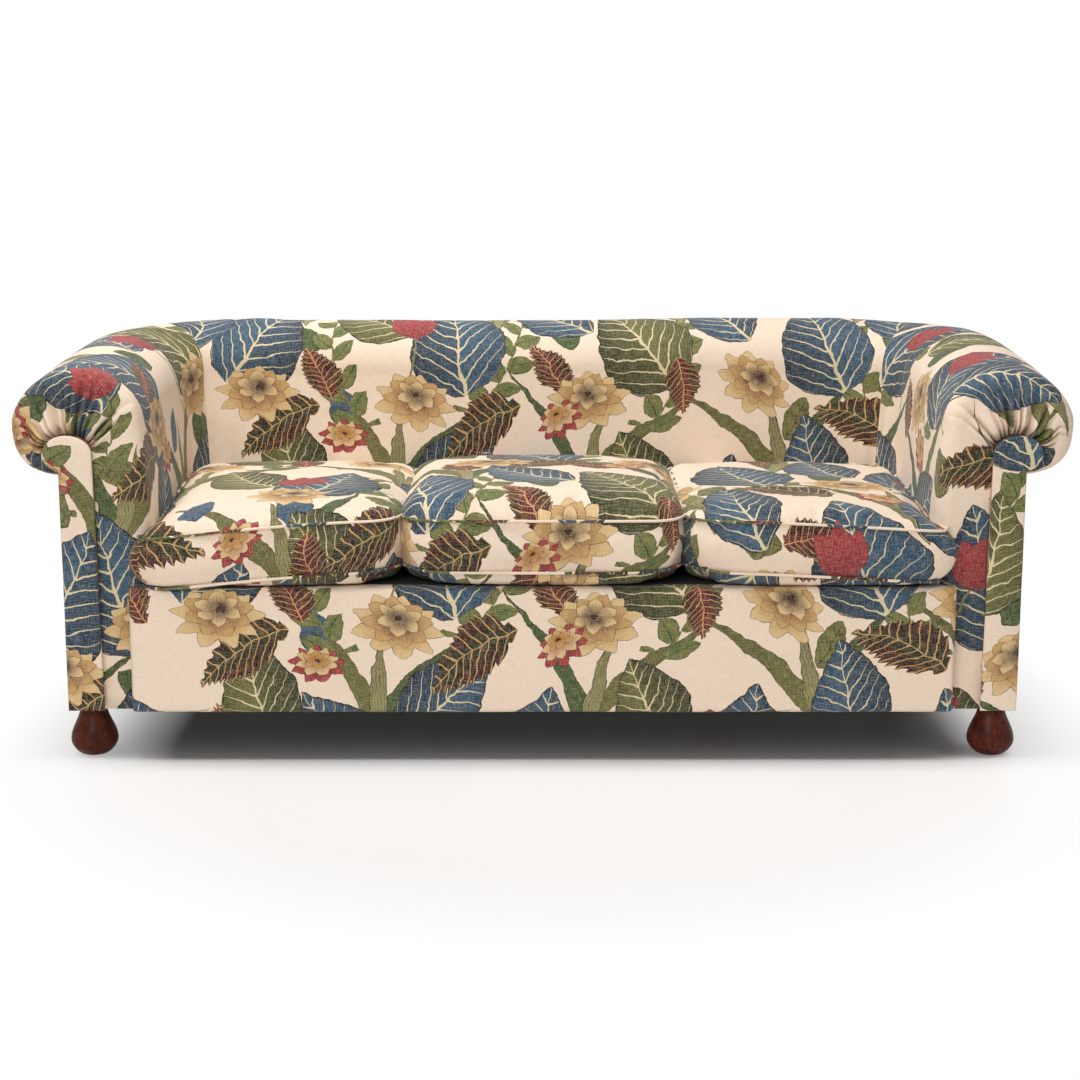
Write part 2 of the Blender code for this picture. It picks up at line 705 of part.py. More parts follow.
def gather_scroll(bm, over_top, stop):
    """Pleats from the roll's front edge to the facing's head; returns the edge of what they leave flat."""
    head_out, head_height, radius = facing_head()
    radius += GATHER_GAP
    pleats = []
    gather = []
    for number, start in enumerate(over_top):
        share = number / (len(over_top) - 1)
        turn = math.pi + (GATHER_END - math.pi) * share
        end = bm.verts.new(stop.place(head_out + radius * math.cos(turn), head_height + radius * math.sin(turn)))
        pleat = bm.verts.new((start.co + end.co) / 2)
        pleat.co.y -= (PLEAT_RIDGE if number % 2 else PLEAT_FOLD) * math.sin(math.pi * share)
        gather.append(end)
        pleats.append(pleat)
    join_rings(bm, [gather, pleats, over_top], closed=False)
    return [over_top[0], pleats[0]] + gather + [pleats[-1], over_top[-1]]


def build_arm_cover(side_name, side):
    """The inside arm cover: over the roll, round the front and down the front to the base."""
    front = front_stations(0, side)
    rest = arm_stations(ROLL_FRONT_RADIUS, MITRE_RUN - SEAM / 2, 0, side)
    bm, rings = cover_sheet(front + rest[1:])
    strip = BORDER_HALF - CREST_X
    face_foot = [(OUTSIDE + GAP, BODY_BOTTOM), (strip, BODY_BOTTOM), (strip, TUCK_LEVEL)]
    lower = [bm.verts.new(front[0].place(out, height)) for out, height in face_foot]
    over_top = rings[0][-len(roll_turns()) - QUARTER_STEPS : -QUARTER_STEPS]
    inside = rings[0][: rings[0].index(over_top[0])]
    underside = rings[0][-QUARTER_STEPS:]
    gathered = gather_scroll(bm, over_top, front[0])
    bm.faces.new((inside + gathered + underside + lower)[::-1])
    if side < 0:
        bmesh.ops.reverse_faces(bm, faces=bm.faces)
    thicken(finish_sheet(f"{side_name}_inside_arm_cover", bm, PRINTED_LINEN), COVER)


def build_back_cover():
    """The inside back cover, from mitre to mitre and over the roll."""
    bm, _ = cover_sheet(back_stations(MITRE_RUN + SEAM / 2))
    thicken(finish_sheet("inside_back_cover", bm, PRINTED_LINEN), COVER)


def build_outside_panels():
    """The covered panels on the outside of the arms and the back, up under the roll."""
    for side_name, side in SIDES.items():
        stations = arm_stations(SKIN, MITRE_RUN - SEAM / 2, side=side)
        sweep(f"{side_name}_outside_arm_panel", stations, panel_section, PRINTED_LINEN)
    sweep("outside_back_panel", back_stations(MITRE_RUN + SEAM / 2), panel_section, PRINTED_LINEN)


def facing_head():
    """The round head of a facing: its middle's distance out and height, and its radius."""
    radius = FACING_HEAD_WIDTH / 2
    return OUTSIDE - FACING_HEAD_SHIFT, ARM_HEIGHT - FACING_HEAD_DROP - radius, radius


def facing_outline():
    """The scroll facing: a narrow upright panel whose round head swells outward under the roll."""
    head_x, head_z, radius = facing_head()
    inner = OUTSIDE - FACING_WIDTH
    outer_turn = -math.acos(FACING_HEAD_SHIFT / radius)
    steps = 2 * QUARTER_STEPS
    outline = [(OUTSIDE, BODY_BOTTOM)]
    for step in range(steps + 1):
        turn = outer_turn + (math.pi - outer_turn) * step / steps
        outline.append((head_x + radius * math.cos(turn), head_z + radius * math.sin(turn)))
    outline.append((inner, BODY_BOTTOM))
    return outline


def build_facing(side_name, side):
    """The padded facing panel on the front of an arm."""
    back_y = ARM_FRONT_Y - GAP
    front_y = ARM_FRONT_Y - FACING_THICKNESS
    bm = bmesh.new()
    outline = [(side * (CREST_X + out), height) for out, height in facing_outline()]
    face = bm.faces.new([bm.verts.new((x, back_y, z)) for x, z in outline])
    raised = bmesh.ops.extrude_face_region(bm, geom=[face])["geom"]
    moved = [item for item in raised if isinstance(item, bmesh.types.BMVert)]
    bmesh.ops.translate(bm, vec=(0, front_y - back_y, 0), verts=moved)
    rim = [edge for edge in bm.edges if all(vertex in moved for vertex in edge.verts)]
    bmesh.ops.bevel(bm, geom=rim, offset=FACING_EDGE, segments=2, profile=0.5, affect="EDGES")
    finish_bmesh(f"{side_name}_arm_facing", bm, PRINTED_LINEN)


def cushion_side_x():
    """How far from the middle the outer cushions reach."""
    return CREST_X - ROLL_WIDTH / 2 - ARM_LEAN - CUSHION_GAP


def cushion_outline(width, depth, corner_radii):
    """A rounded rectangle about its middle, its sides drawn in, from the front right corner round."""
    quarters = [(1, -1, -90), (1, 1, 0), (-1, 1, 90), (-1, -1, 180)]
    corners = []
    for (sign_x, sign_y, start), radius in zip(quarters, corner_radii):
        centre = Vector((sign_x * (width / 2 - radius), sign_y * (depth / 2 - radius)))
        arc = []
        for step in range(CUSHION_CORNER_STEPS + 1):
            turn = math.radians(start + 90 * step / CUSHION_CORNER_STEPS)
            arc.append(centre + radius * Vector((math.cos(turn), math.sin(turn))))
        corners.append(arc)
    outline = []
    for arc, following in zip(corners, corners[1:] + corners[:1]):
        outline += arc
        side = following[0] - arc[-1]
        inward = Vector((-side.y, side.x)).normalized()
        for step in range(1, CUSHION_SIDE_STEPS):
            share = step / CUSHION_SIDE_STEPS
            drawn = CUSHION_DRAW_IN * math.sin(math.pi * share) ** 2
            outline.append(arc[-1] + side * share + inward * drawn)
    return outline


def cushion_rings():
    """Share of the outline, drawing-in and height of each ring, from the belly to the upper seam."""
    edge_low = CUSHION_BELLY
    edge_high = CUSHION_BELLY + CUSHION_BORDER
    rings = []
    for step in range(CUSHION_BELLY_STEPS):
        rise = step / CUSHION_BELLY_STEPS
        rings.append((CUSHION_FLAT + (1 - CUSHION_FLAT) * rise, 0.0, edge_low * rise**2))
    rings += [(1.0, CUSHION_SWELL, edge_low), (1.0, 0.0, (edge_low + edge_high) / 2)]
    rings += [(1.0, CUSHION_SWELL, edge_high)]
    return rings


def crown_height(point, half):
    """How high the crowned top stands at a point in plan."""
    across = 1 - (point.x / half.x) ** 2
    along = 1 - (point.y / half.y) ** 2
    return CUSHION_BELLY + CUSHION_BORDER + CUSHION_CROWN * (across * along) ** (CUSHION_FULLNESS / 2)


def cushion_ring(outline, half, share, draw):
    """The outline shrunk to a share of itself, rounder towards the middle, and drawn in."""
    ring = []
    for point in outline:
        turn = math.atan2(point.y / half.y, point.x / half.x)
        oval = Vector((half.x * math.cos(turn), half.y * math.sin(turn)))
        ring.append(oval.lerp(point, share**3) * share - point.normalized() * draw)
    return ring


def build_cushion(name, left, right, corner_radii):
    """A boxed seat cushion with a crowned top and a belly that lies flat on the platform."""
    front = BORDER_FRONT_Y + CUSHION_SETBACK
    rear = CREST_Y - ROLL_WIDTH / 2 - BACK_LEAN - CUSHION_GAP
    half = Vector((right - left, rear - front)) / 2
    outline = cushion_outline(right - left, rear - front, corner_radii)
    bm = bmesh.new()
    rings = []
    for share, draw, height in cushion_rings():
        ring = cushion_ring(outline, half, share, draw)
        rings.append([bm.verts.new((point.x, point.y, height)) for point in ring])
    for step in range(1, CUSHION_CROWN_STEPS):
        ring = cushion_ring(outline, half, math.cos(math.pi / 2 * step / CUSHION_CROWN_STEPS), 0.0)
        rings.append([bm.verts.new((point.x, point.y, crown_height(point, half))) for point in ring])
    join_rings(bm, rings, closed=True)
    bm.faces.new(rings[0])
    crown = bm.verts.new((0, 0, CUSHION_BELLY + CUSHION_BORDER + CUSHION_CROWN))
    last = rings[-1]
    for here, there in zip(last, last[1:] + last[:1]):
        bm.faces.new((here, there, crown))
    middle = ((left + right) / 2, (front + rear) / 2, SEAT_HEIGHT + GAP)
    finish_bmesh(name, bm, PRINTED_LINEN, middle, smooth_angle=30)


def build_cushions():
    """Three loose cushions; the outer ones are rounded where they meet the back corners."""
    half = MIDDLE_CUSHION / 2
    side = cushion_side_x()
    round_corner = CORNER_RADIUS - ROLL_WIDTH / 2 - ARM_LEAN - CUSHION_GAP
    square = CUSHION_CORNER
    edge = half + CUSHION_GAP
    build_cushion("left_seat_cushion", -side, -edge, (square, square, round_corner, square))
    build_cushion("middle_seat_cushion", -half, half, (square, square, square, square))
    build_cushion("right_seat_cushion", edge, side, (square, round_corner, square, square))


def build_frame():
    """All the timber, and the feet under it."""
    build_front_rail()
    build_back_rails()
    for side_name, side in SIDES.items():
        build_arm_post(side_name, side)
        build_back_post(side_name, side)
        build_arm_rails(side_name, side)
        build_stay(side_name, side)
        build_cross_rail(side_name, side)
        build_corner_block(side_name, side)
        build_foot(f"front_{side_name}_foot", front_foot_place(side))
        build_foot(f"rear_{side_name}_foot", rear_foot_place(side))


def build_seat():
    """The webbing, springs and layers that make the sprung platform."""
    build_webbing()
    build_springs()
    print_spring_gap()
    build_seat_layers()
    build_dust_cover()


def build_upholstery():
    """Padding, covers, panels and facings."""
    build_front_border()
    build_back_padding()
    build_back_cover()
    build_outside_panels()
    for side_name, side in SIDES.items():
        build_arm_padding(side_name, side)
        build_arm_cover(side_name, side)
        build_facing(side_name, side)


for old in list(bpy.data.objects):
    bpy.data.objects.remove(old)

BEECH = paint("beech", (0.62, 0.42, 0.24), 0.55)
STAINED_WOOD = paint("dark stained wood", (0.07, 0.018, 0.009), 0.35)
PRINTED_LINEN = paint("printed linen", (0.76, 0.66, 0.54), 0.9)
LINING = paint("black lining cloth", (0.03, 0.03, 0.03), 0.95)
JUTE = paint("jute", (0.45, 0.33, 0.18), 0.95)
FIBRE = paint("fibre padding", (0.85, 0.82, 0.76), 0.95)
STEEL = paint("spring steel", (0.55, 0.53, 0.5), 0.35, 1.0)

SOFA = bpy.data.objects.new("sofa", None)
bpy.context.collection.objects.link(SOFA)

build_frame()
build_seat()
build_upholstery()
build_cushions()
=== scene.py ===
"""Looks of a roll-arm chesterfield sofa: covers, cushions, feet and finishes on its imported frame.

Metres, +Z up, the front faces -Y. Every cover carries a UV map called cloth, which says in metres where
each point lies on the bolt of printed linen that it was cut from.
"""

import json
import math

import bmesh
import bpy
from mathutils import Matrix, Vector, noise


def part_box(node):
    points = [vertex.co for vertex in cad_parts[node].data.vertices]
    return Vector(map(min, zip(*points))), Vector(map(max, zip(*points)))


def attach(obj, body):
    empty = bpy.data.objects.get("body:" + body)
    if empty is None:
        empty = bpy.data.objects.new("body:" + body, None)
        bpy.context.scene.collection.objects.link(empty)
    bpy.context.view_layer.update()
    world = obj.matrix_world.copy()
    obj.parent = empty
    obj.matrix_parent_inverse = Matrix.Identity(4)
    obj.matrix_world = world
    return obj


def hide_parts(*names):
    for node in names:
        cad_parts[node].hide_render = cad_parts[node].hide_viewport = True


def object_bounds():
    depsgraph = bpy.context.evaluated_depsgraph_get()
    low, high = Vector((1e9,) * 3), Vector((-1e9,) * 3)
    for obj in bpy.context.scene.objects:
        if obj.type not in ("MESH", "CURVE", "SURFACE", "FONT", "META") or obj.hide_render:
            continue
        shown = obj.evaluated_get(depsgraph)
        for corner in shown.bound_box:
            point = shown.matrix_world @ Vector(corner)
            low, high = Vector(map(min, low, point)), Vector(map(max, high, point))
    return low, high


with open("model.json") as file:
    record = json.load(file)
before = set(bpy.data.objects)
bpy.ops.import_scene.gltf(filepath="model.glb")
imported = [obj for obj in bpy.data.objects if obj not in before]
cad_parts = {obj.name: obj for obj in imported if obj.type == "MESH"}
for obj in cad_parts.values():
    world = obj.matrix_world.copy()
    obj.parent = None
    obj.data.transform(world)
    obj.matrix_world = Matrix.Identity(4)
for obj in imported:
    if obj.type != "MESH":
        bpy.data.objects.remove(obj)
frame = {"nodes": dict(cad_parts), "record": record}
CAD_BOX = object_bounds()

bl_info = {
    "name": "Roll-Arm Chesterfield Sofa",
    "version": (1, 0, 0),
    "blender": (4, 5, 0),
    "location": "View3D > Sidebar > Sofa",
    "description": "Covers a roll-arm sofa frame in printed linen and sets it in a studio",
    "category": "Add Mesh",
}

MM = 0.001
SIDES = {"left": -1, "right": 1}
FAR = 10
TINY = 1e-6

# Sizes read from the frame
BORDER_LOW, BORDER_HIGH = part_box("front_border_cover")
FACING_LOW, FACING_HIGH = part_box("right_arm_facing")
POST_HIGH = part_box("right_arm_post")[1]
PANEL_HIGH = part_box("outside_back_panel")[1]
PLATFORM_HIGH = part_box("platform_cover")[1]
HALF_WIDTH = CAD_BOX[1].x
BACK_Y = CAD_BOX[1].y
BACK_HEIGHT = CAD_BOX[1].z
BODY_BOTTOM = BORDER_LOW.z
TUCK_LEVEL = PLATFORM_HIGH.z

# The roll that runs along one arm, round the back and along the other arm
ROLL_WIDTH = 0.238
ROLL_RISE = 0.104
ROLL_DROP = 0.095
ROLL_FULLNESS = 2.8
ARM_HEIGHT = 0.762
FRONT_RADIUS = 0.030
CORNER_RADIUS = 0.250
ARM_LEAN = 0.015
BACK_LEAN = 0.035
INSIDE_CROWN = 0.006
FRONT_PUFF = 0.008
PUFF_RUN = 0.200
ARM_SWELL = {-1: 0.005, 1: 0.011}
SWELL_RUN = 0.720
BACK_SAG = 0.005
SAG_RUN = 0.100
SAG_END = 0.450
SAG_FADE = 0.500
DART_FADE = 0.45
PANEL_DROP = 0.163
PANEL_START = 4 * MM
FACING_HEAD = 0.0475
FACING_HEAD_RISE = 0.036
FACING_NECK = 0.006
FACING_HEAD_OUT = 0.008
FACING_BACK = 1 * MM
CROWN_RINGS = (0.5, 0.3, 0.2)
CROWN_RING = 8 * MM
FACING_BOLT = (0.31, 0.12)
BORDER_FADE = 0.120

# The roll's crest line in plan, and lengths along it from an arm front
CREST_X = HALF_WIDTH - ROLL_WIDTH / 2
CREST_Y = BACK_Y - ROLL_WIDTH / 2
OUTSIDE = PANEL_HIGH.y - CREST_Y
ARM_FRONT_Y = FACING_HIGH.y
CORNER_X = CREST_X - CORNER_RADIUS
CORNER_Y = CREST_Y - CORNER_RADIUS
STRAIGHT_RUN = CORNER_Y - ARM_FRONT_Y
MITRE_RUN = STRAIGHT_RUN + CORNER_RADIUS * math.pi / 4
BACK_RUN = STRAIGHT_RUN + CORNER_RADIUS * math.pi / 2
MIDDLE_RUN = BACK_RUN + CORNER_X

# The tuck in each back corner, as a width and shares of the height
TUCK_WIDTH = 0.034
TUCK_FADE_FROM = 0.62
TUCK_FADE = 0.34

# The pleats fanned round each scroll front, as shares of the way round it and in to its facing
FAN_FADE_IN = 0.12
FAN_END = 1.02
FAN_FADE_OUT = 0.1
# Lifts a dome that follows the square of x times 1 - x to a peak of 1
FULL_DOME = 27 / 4
# How far the pleats stray from even places, how often and from where
PLEAT_DRIFT = ((0.018, 17, 0), (0.012, 41, 1))
LEAST_PLEAT = 0.5
PLEAT_FROM = -0.45
PLEAT_STRAY = 0.4
PLEAT_GROWTH = 0.8
PLEAT_SHARPNESS = 0.75
GATHER_END = math.radians(-25)
GATHER_TUCK = 2 * MM
DIP_FROM = 0.7
DIP_RUN = 0.3
LEAST_DIP = 1 * MM
POST_MARGIN = 6 * MM
FALL_BEFORE_POST = 1.5 * MM
DEEPEST_FALL = 27 * MM

# Cloth and padding; lumps are given as how many to a metre and how strong
COVER_CLOTH = 2 * MM
PANEL_CLOTH = 3 * MM
LUMPS = ((5.0, 0.7), (14.0, 0.3), (26.0, 0.25))
SOFT_RISE = 0.300
FIRMNESS = 3
BORDER_SOFTNESS = 0.6
SHARP_EDGE = math.radians(50)

# Each cushion: the side where an arm stands, how far its front corner droops there, what its crown
# gains, how much of the crown has slid forward, and where it is cut from the bolt
CUSHIONS = {
    "left": {"outer": -1, "droop": 0.040, "crown": -0.019, "slump": 0.6, "bolt": (0.30, 0.10)},
    "middle": {"outer": 0, "droop": 0.0, "crown": 0.000, "slump": 0.3, "bolt": (0.05, 0.62)},
    "right": {"outer": 1, "droop": 0.022, "crown": -0.025, "slump": 0.7, "bolt": (0.73, 0.37)},
}
CUSHION_CUTS = (43, 43, 7)
ON_EDGE = 0.999
NEAR_EDGE = 0.99
TIGHT_CORNER = 0.6
SEAM_DRAW = 0.5
FRONT_SWELL = 0.011
SIDE_SWELL = 0.003
SIDE_DRAW = 0.005
END_DRAW = 0.004
OUTER_HALF = 0.5
SPREAD_FROM = -0.375
SPREAD_RUN = 0.050
SPREAD = 0.030
SPREAD_SWELL = 0.014
ARM_CLEARANCE = 3 * MM
DOME_POWER = 3
CROWN_POWER = 0.6
BELLY_FULLNESS = 1.35
DROOP_ACROSS = 1.8
DROOP_ALONG = 1.5
LEAST_BELLY = 2 * MM
PLATFORM_GAP = 1 * MM
FILLING_PRESSURE = 4
SPARE_CLOTH = 0.05
HELD_BASE = 4 * MM
PIPING_PROUD = 0.35
PIPING_ROUNDNESS = 3
PIPING_STEP = 0.009

# The turned feet: radii, the belly's share of the height, and the curve below it
FOOT_BASE = 0.024
FOOT_NECK = 0.0255
FOOT_FLAT = 0.022
FOOT_ARRIS = (0.0235, 0.0006)
FOOT_BELLY = 0.295
FOOT_UNDERCUT = 1.8
FOOT_FULLNESS = 0.75
FOOT_WELD = 0.00001

# The sheets of the seat
PLATFORM_SINK = 0.5 * MM
PLATFORM_SAG = 3 * MM
STUFFING_GAP = 4 * MM
HESSIAN_SAG = 1 * MM
DUST_COVER_SAG = 4 * MM

# How finely the pieces are cut into faces
INSIDE_STEPS = 22
ROLL_STEPS = 128
UNDER_STEPS = 40
FAN_STEPS = 24
ROUND_STEPS = 10
# The strip beside a facing takes all rows of the fan and the first few of the rounded front
STRIP_ROWS = FAN_STEPS + 3
STRIP_STEPS = 8
ARM_STEPS = 24
CORNER_STEPS = 22
CORNER_CROWDING = 1.5
BACK_STEPS = 40
PANEL_STEPS = 14
PANEL_RUNS = 12
EDGE_STEPS = 6
FACING_INNER_STEPS = 12
FACING_HEAD_STEPS = 40
FACING_OUTER_STEPS = 10
BORDER_LONG_STEPS = 90
BORDER_TALL_STEPS = 24
FOOT_STEPS = 28
FOOT_SIDES = 64
SEAT_STEPS = 14
SEAT_COLUMNS = 60
SETTLE_FRAMES = 20

# The studio: the pool of floor that keeps the shadow, the lamps and the camera
FLOOR_SIZE = 40
POOL_ACROSS = 0.97
POOL_SHIFT = -0.04
POOL_FRONT = 0.3
POOL_BEHIND = 0.45
POOL_WHOLE = 0.75
POOL_GONE = 1.1
EVEN_LIGHT = 0.28
LAMPS = {
    "overhead_lamp": {"place": (-0.7, -0.25, 3.4), "aim": (0, 0, 0.4), "size": (3.8, 2.0), "power": 100},
    "front_lamp": {"place": (-1.2, -4.6, 2.9), "aim": (0, 0, 0.45), "size": (2.4, 1.6), "power": 91},
    "floor_lamp": {"place": (0.4, -0.6, 3.0), "aim": (0.4, -0.6, 0), "size": (9.0, 0.9), "power": 147},
}
CAMERA_PLACE = (0, -4.4565, 1.257)
CAMERA_LENS = 71.33
CAMERA_SENSOR = 36
CAMERA_TILT = 11.5
PHOTO_WIDTH_PX = 1080
PHOTO_SHIFT_PX = -2.5

# Sockets of a colour Mix node
BLEND = {"out": 2, "data_type": "RGBA"}
FACTOR, UNDER, OVER = 0, 6, 7


def linear(code):
    """Turn an sRGB hex colour into linear red, green, blue and alpha."""
    shares = [int(code[place : place + 2], 16) / 255 for place in (1, 3, 5)]
    return [s / 12.92 if s <= 0.04045 else ((s + 0.055) / 1.055) ** 2.4 for s in shares] + [1.0]


def measure(name, description, default):
    """A size for the sidebar, in metres."""
    return bpy.props.FloatProperty(
        name=name, description=description, default=default, min=0, unit="LENGTH", precision=4
    )


def colour(name, description, code):
    """A colour for the sidebar, from its sRGB hex value."""
    return bpy.props.FloatVectorProperty(
        name=name, description=description, default=linear(code), size=4, min=0, max=1, subtype="COLOR"
    )


class SofaSizes(bpy.types.PropertyGroup):
    """Sizes of the upholstery."""

    pleats: bpy.props.IntProperty(
        name="Pleats", description="Pleats gathered into each scroll front", default=17, min=3
    )
    pleat_depth: measure("Pleat depth", "How far the cloth falls back between two pleats", 0.032)
    scroll_dome: measure("Scroll dome", "How far the scroll front stands proud of the arm front", 0.014)
    tuck_depth: measure("Corner tuck", "How deep the tuck in each back corner is", 0.014)
    softness: measure("Softness", "How uneven the padding under the covers is", 0.0028)
    border_crown: measure("Border crown", "How far the front border swells", 0.004)
    border_edge: measure("Border edge", "Radius of the front border's edges", 0.011)
    facing_edge: measure("Facing edge", "Radius of the arm facings' edges", 0.005)
    facing_crown: measure("Facing crown", "How far the arm facings swell", 0.002)
    facing_dip: measure("Facing dip", "How far the arm's cover dips where it goes under a facing", 0.009)
    facing_undercut: measure("Facing undercut", "How far the arm facings are drawn in behind", 0.006)
    cushion_border: measure("Cushion border", "Height of the boxed strip round a cushion", 0.097)
    cushion_belly: measure("Cushion belly", "How far a cushion swells below its lower seam", 0.035)
    cushion_crown: measure("Cushion crown", "How far a cushion swells above its upper seam", 0.040)
    cushion_corner: measure("Cushion corner", "Radius of a cushion's corners in plan", 0.065)
    cushion_tuck: measure("Cushion tuck", "How much rounder a cushion's corners are below", 0.040)
    cushion_give: measure("Cushion give", "Furthest that the filling presses a cover out", 0.012)
    piping: measure("Piping", "Diameter of the piped seams", 0.0055)
    repeat_width: measure("Print repeat width", "Width of the print's brick repeat", 0.40)
    repeat_height: measure("Print repeat height", "Height of the print's brick repeat", 0.42)
    thread: measure("Thread", "Spacing of the linen's slubbed threads", 0.0019)


class SofaInks(bpy.types.PropertyGroup):
    """Colours of the cloth and its print."""

    ground: colour("Ground", "Bare linen", "#EFD9C2")
    blue: colour("Blue", "Broad leaves", "#3B627C")
    deep_blue: colour("Deep blue", "Shaded half of the blue leaves", "#182F3E")
    green: colour("Green", "Strap leaves and sprigs", "#4F6536")
    deep_green: colour("Deep green", "Shaded green", "#1F2B16")
    olive: colour("Olive", "Broad green leaves and stems", "#79783F")
    pale_olive: colour("Pale olive", "Short strap leaves", "#A19A64")
    tan: colour("Tan", "Flowers and leaf ribs", "#C39B62")
    pale_tan: colour("Pale tan", "Outer petals", "#D9B985")
    ochre: colour("Ochre", "Flower hearts", "#A9702A")
    rose: colour("Rose", "Buds and petals", "#A23A3C")
    maroon: colour("Maroon", "Shaded petals", "#611522")
    rust: colour("Rust", "Toothed leaves and flower eyes", "#361811")
    line: colour("Line", "Inked rims", "#1C130E")
    vein: colour("Vein", "Leaf veins", "#DCCBA2")


class SofaFinishes(bpy.types.PropertyGroup):
    """Colours of the wood, wire and plain cloths, and of the studio."""

    stain: colour("Stain", "Stained wood of the feet", "#632C1E")
    dark_stain: colour("Dark stain", "Grain lines of the feet", "#200B05")
    beech: colour("Beech", "Frame timber", "#C79E6E")
    beech_fleck: colour("Beech fleck", "Grain of the frame timber", "#A87C4E")
    wire: colour("Spring wire", "Drawn steel wire", "#A8A49C")
    dark_wire: colour("Dark wire", "Streaks on the spring wire", "#77736B")
    jute: colour("Jute", "Webbing and hessian", "#B08D5C")
    # Painted shade: the colour of the gaps between the jute yarns
    jute_gap_shade: colour("Dark jute", "Gaps between jute yarns", "#7A5A34")
    lining: colour("Lining", "Platform and dust cover", "#2C2A28")
    # Painted shade: the colour of the gaps between the lining's threads
    lining_gap_shade: colour("Dark lining", "Gaps between the lining's threads", "#1B1A19")
    floor: colour("Floor", "Painted studio floor", "#F5F3F1")
    surroundings: colour("Surroundings", "White that the floor runs out into", "#FFFFFF")


def ink(name):
    """One of the print's colours."""
    return tuple(getattr(bpy.context.scene.sofa_inks, name))


def finish_colour(name):
    """One of the colours of wood, wire, plain cloth and studio."""
    return tuple(getattr(bpy.context.scene.sofa_finishes, name))


def add(tree, kind, *feeds, out=0, **settings):
    """Add a node of a kind, with its operation after a space, and return one of its outputs or several.

    The feeds go to the inputs in order, or by name or place where they come as a dictionary.
    """
    kind, _, operation = kind.partition(" ")
    node = tree.nodes.new("ShaderNode" + kind)
    if operation:
        node.operation = operation
    for name, value in settings.items():
        setattr(node, name, value)
    places = feeds[0] if feeds and isinstance(feeds[0], dict) else dict(enumerate(feeds))
    for place, value in places.items():
        if isinstance(value, bpy.types.NodeSocket):
            tree.links.new(value, node.inputs[place])
        else:
            node.inputs[place].default_value = value
    return [node.outputs[place] for place in out] if isinstance(out, tuple) else node.outputs[out]


def new_material(name, roughness, **sockets):
    """A material with its shader's plain sockets set; returns it, its node tree and its shader."""
    material = bpy.data.materials.new(name)
    material.use_nodes = True
    tree = material.node_tree
    shader = tree.nodes["Principled BSDF"]
    shader.inputs["Roughness"].default_value = roughness
    for socket, value in sockets.items():
        shader.inputs[socket.replace("_", " ")].default_value = value
    return material, tree, shader


def scatter(t, cloth, shift, turn, swing, seed, stray=12, skip=0.0, cells=1):
    """A motif's own place in a brick lattice of cells, and a chance value to choose its colour by.

    Each motif is mirrored, turned, moved or left out by chance.
    """
    sizes = bpy.context.scene.sofa_sizes
    wide = sizes.repeat_width / cells
    high = sizes.repeat_height / cells
    moved = add(t, "VectorMath SUBTRACT", cloth, (shift[0] * MM, shift[1] * MM, 0))
    u, v = add(t, "SeparateXYZ", moved, out=(0, 1))
    row = add(t, "Math ROUND", add(t, "Math DIVIDE", v, high))
    up = add(t, "Math WRAP", v, high / 2, -high / 2)
    odd = add(t, "Math FLOORED_MODULO", row, 2)
    across = add(t, "Math MULTIPLY_ADD", odd, wide / 2, u)
    column = add(t, "Math ROUND", add(t, "Math DIVIDE", across, wide))
    along = add(t, "Math WRAP", across, wide / 2, -wide / 2)
    cell = add(t, "CombineXYZ", column, row, seed)
    chances = add(t, "TexWhiteNoise", cell, out="Color", noise_dimensions="3D")
    flip, sway, tint = add(t, "SeparateXYZ", chances, out=(0, 1, 2))
    other_cell = add(t, "CombineXYZ", column, row, seed + 0.5)
    drift = add(t, "TexWhiteNoise", other_cell, out="Color", noise_dimensions="3D")
    side = add(t, "Math SIGN", add(t, "Math SUBTRACT", flip, 0.5))
    facing = add(t, "Math MULTIPLY", along, side)
    place = add(t, "CombineXYZ", facing, up, 0)
    centred = add(t, "VectorMath SUBTRACT", drift, (0.5, 0.5, 0.5))
    span = 2 * stray * MM
    strayed = add(t, "VectorMath MULTIPLY_ADD", centred, (span, span, 0), place)
    angle = add(t, "Math MULTIPLY_ADD", sway, 2 * swing, turn - swing)
    turned = add(t, "VectorRotate", {"Vector": strayed, "Angle": angle}, rotation_type="Z_AXIS")
    x, y = add(t, "SeparateXYZ", turned, out=(0, 1))
    gone = add(t, "Math LESS_THAN", add(t, "SeparateXYZ", drift, out=2), skip)
    return x, add(t, "Math ADD", y, gone), tint


def bend(t, x, y, amount):
    """Bow a motif sideways, more the further it is from its base."""
    square = add(t, "Math MULTIPLY", y, y)
    return add(t, "Math MULTIPLY_ADD", square, amount, x)


def blade(t, x, y, length, width, fullness=0.75, roundness=1.0):
    """A leaf or petal from the origin up.

    Returns a point's depth inside the rim, its distance from the midrib, its share of the length, the
    half-width there, and whether it is inside.
    """
    across = add(t, "Math ABSOLUTE", x)
    share = add(t, "Math DIVIDE", y, length, use_clamp=True)
    swell = add(t, "Math POWER", share, fullness)
    bulge = add(t, "Math SINE", add(t, "Math MULTIPLY", swell, math.pi))
    rounded = add(t, "Math POWER", bulge, roundness)
    half = add(t, "Math MULTIPLY", rounded, width / 2)
    depth = add(t, "Math SUBTRACT", half, across)
    inside = add(t, "Math GREATER_THAN", depth, 0)
    return depth, across, share, half, inside


def side_lines(t, across, share, length, count, slope):
    """Lines that slant up from a leaf's midrib, as a share of their spacing."""
    rise = add(t, "Math MULTIPLY_ADD", across, -slope / length, share)
    return add(t, "Math PINGPONG", add(t, "Math MULTIPLY", rise, count), 0.5)


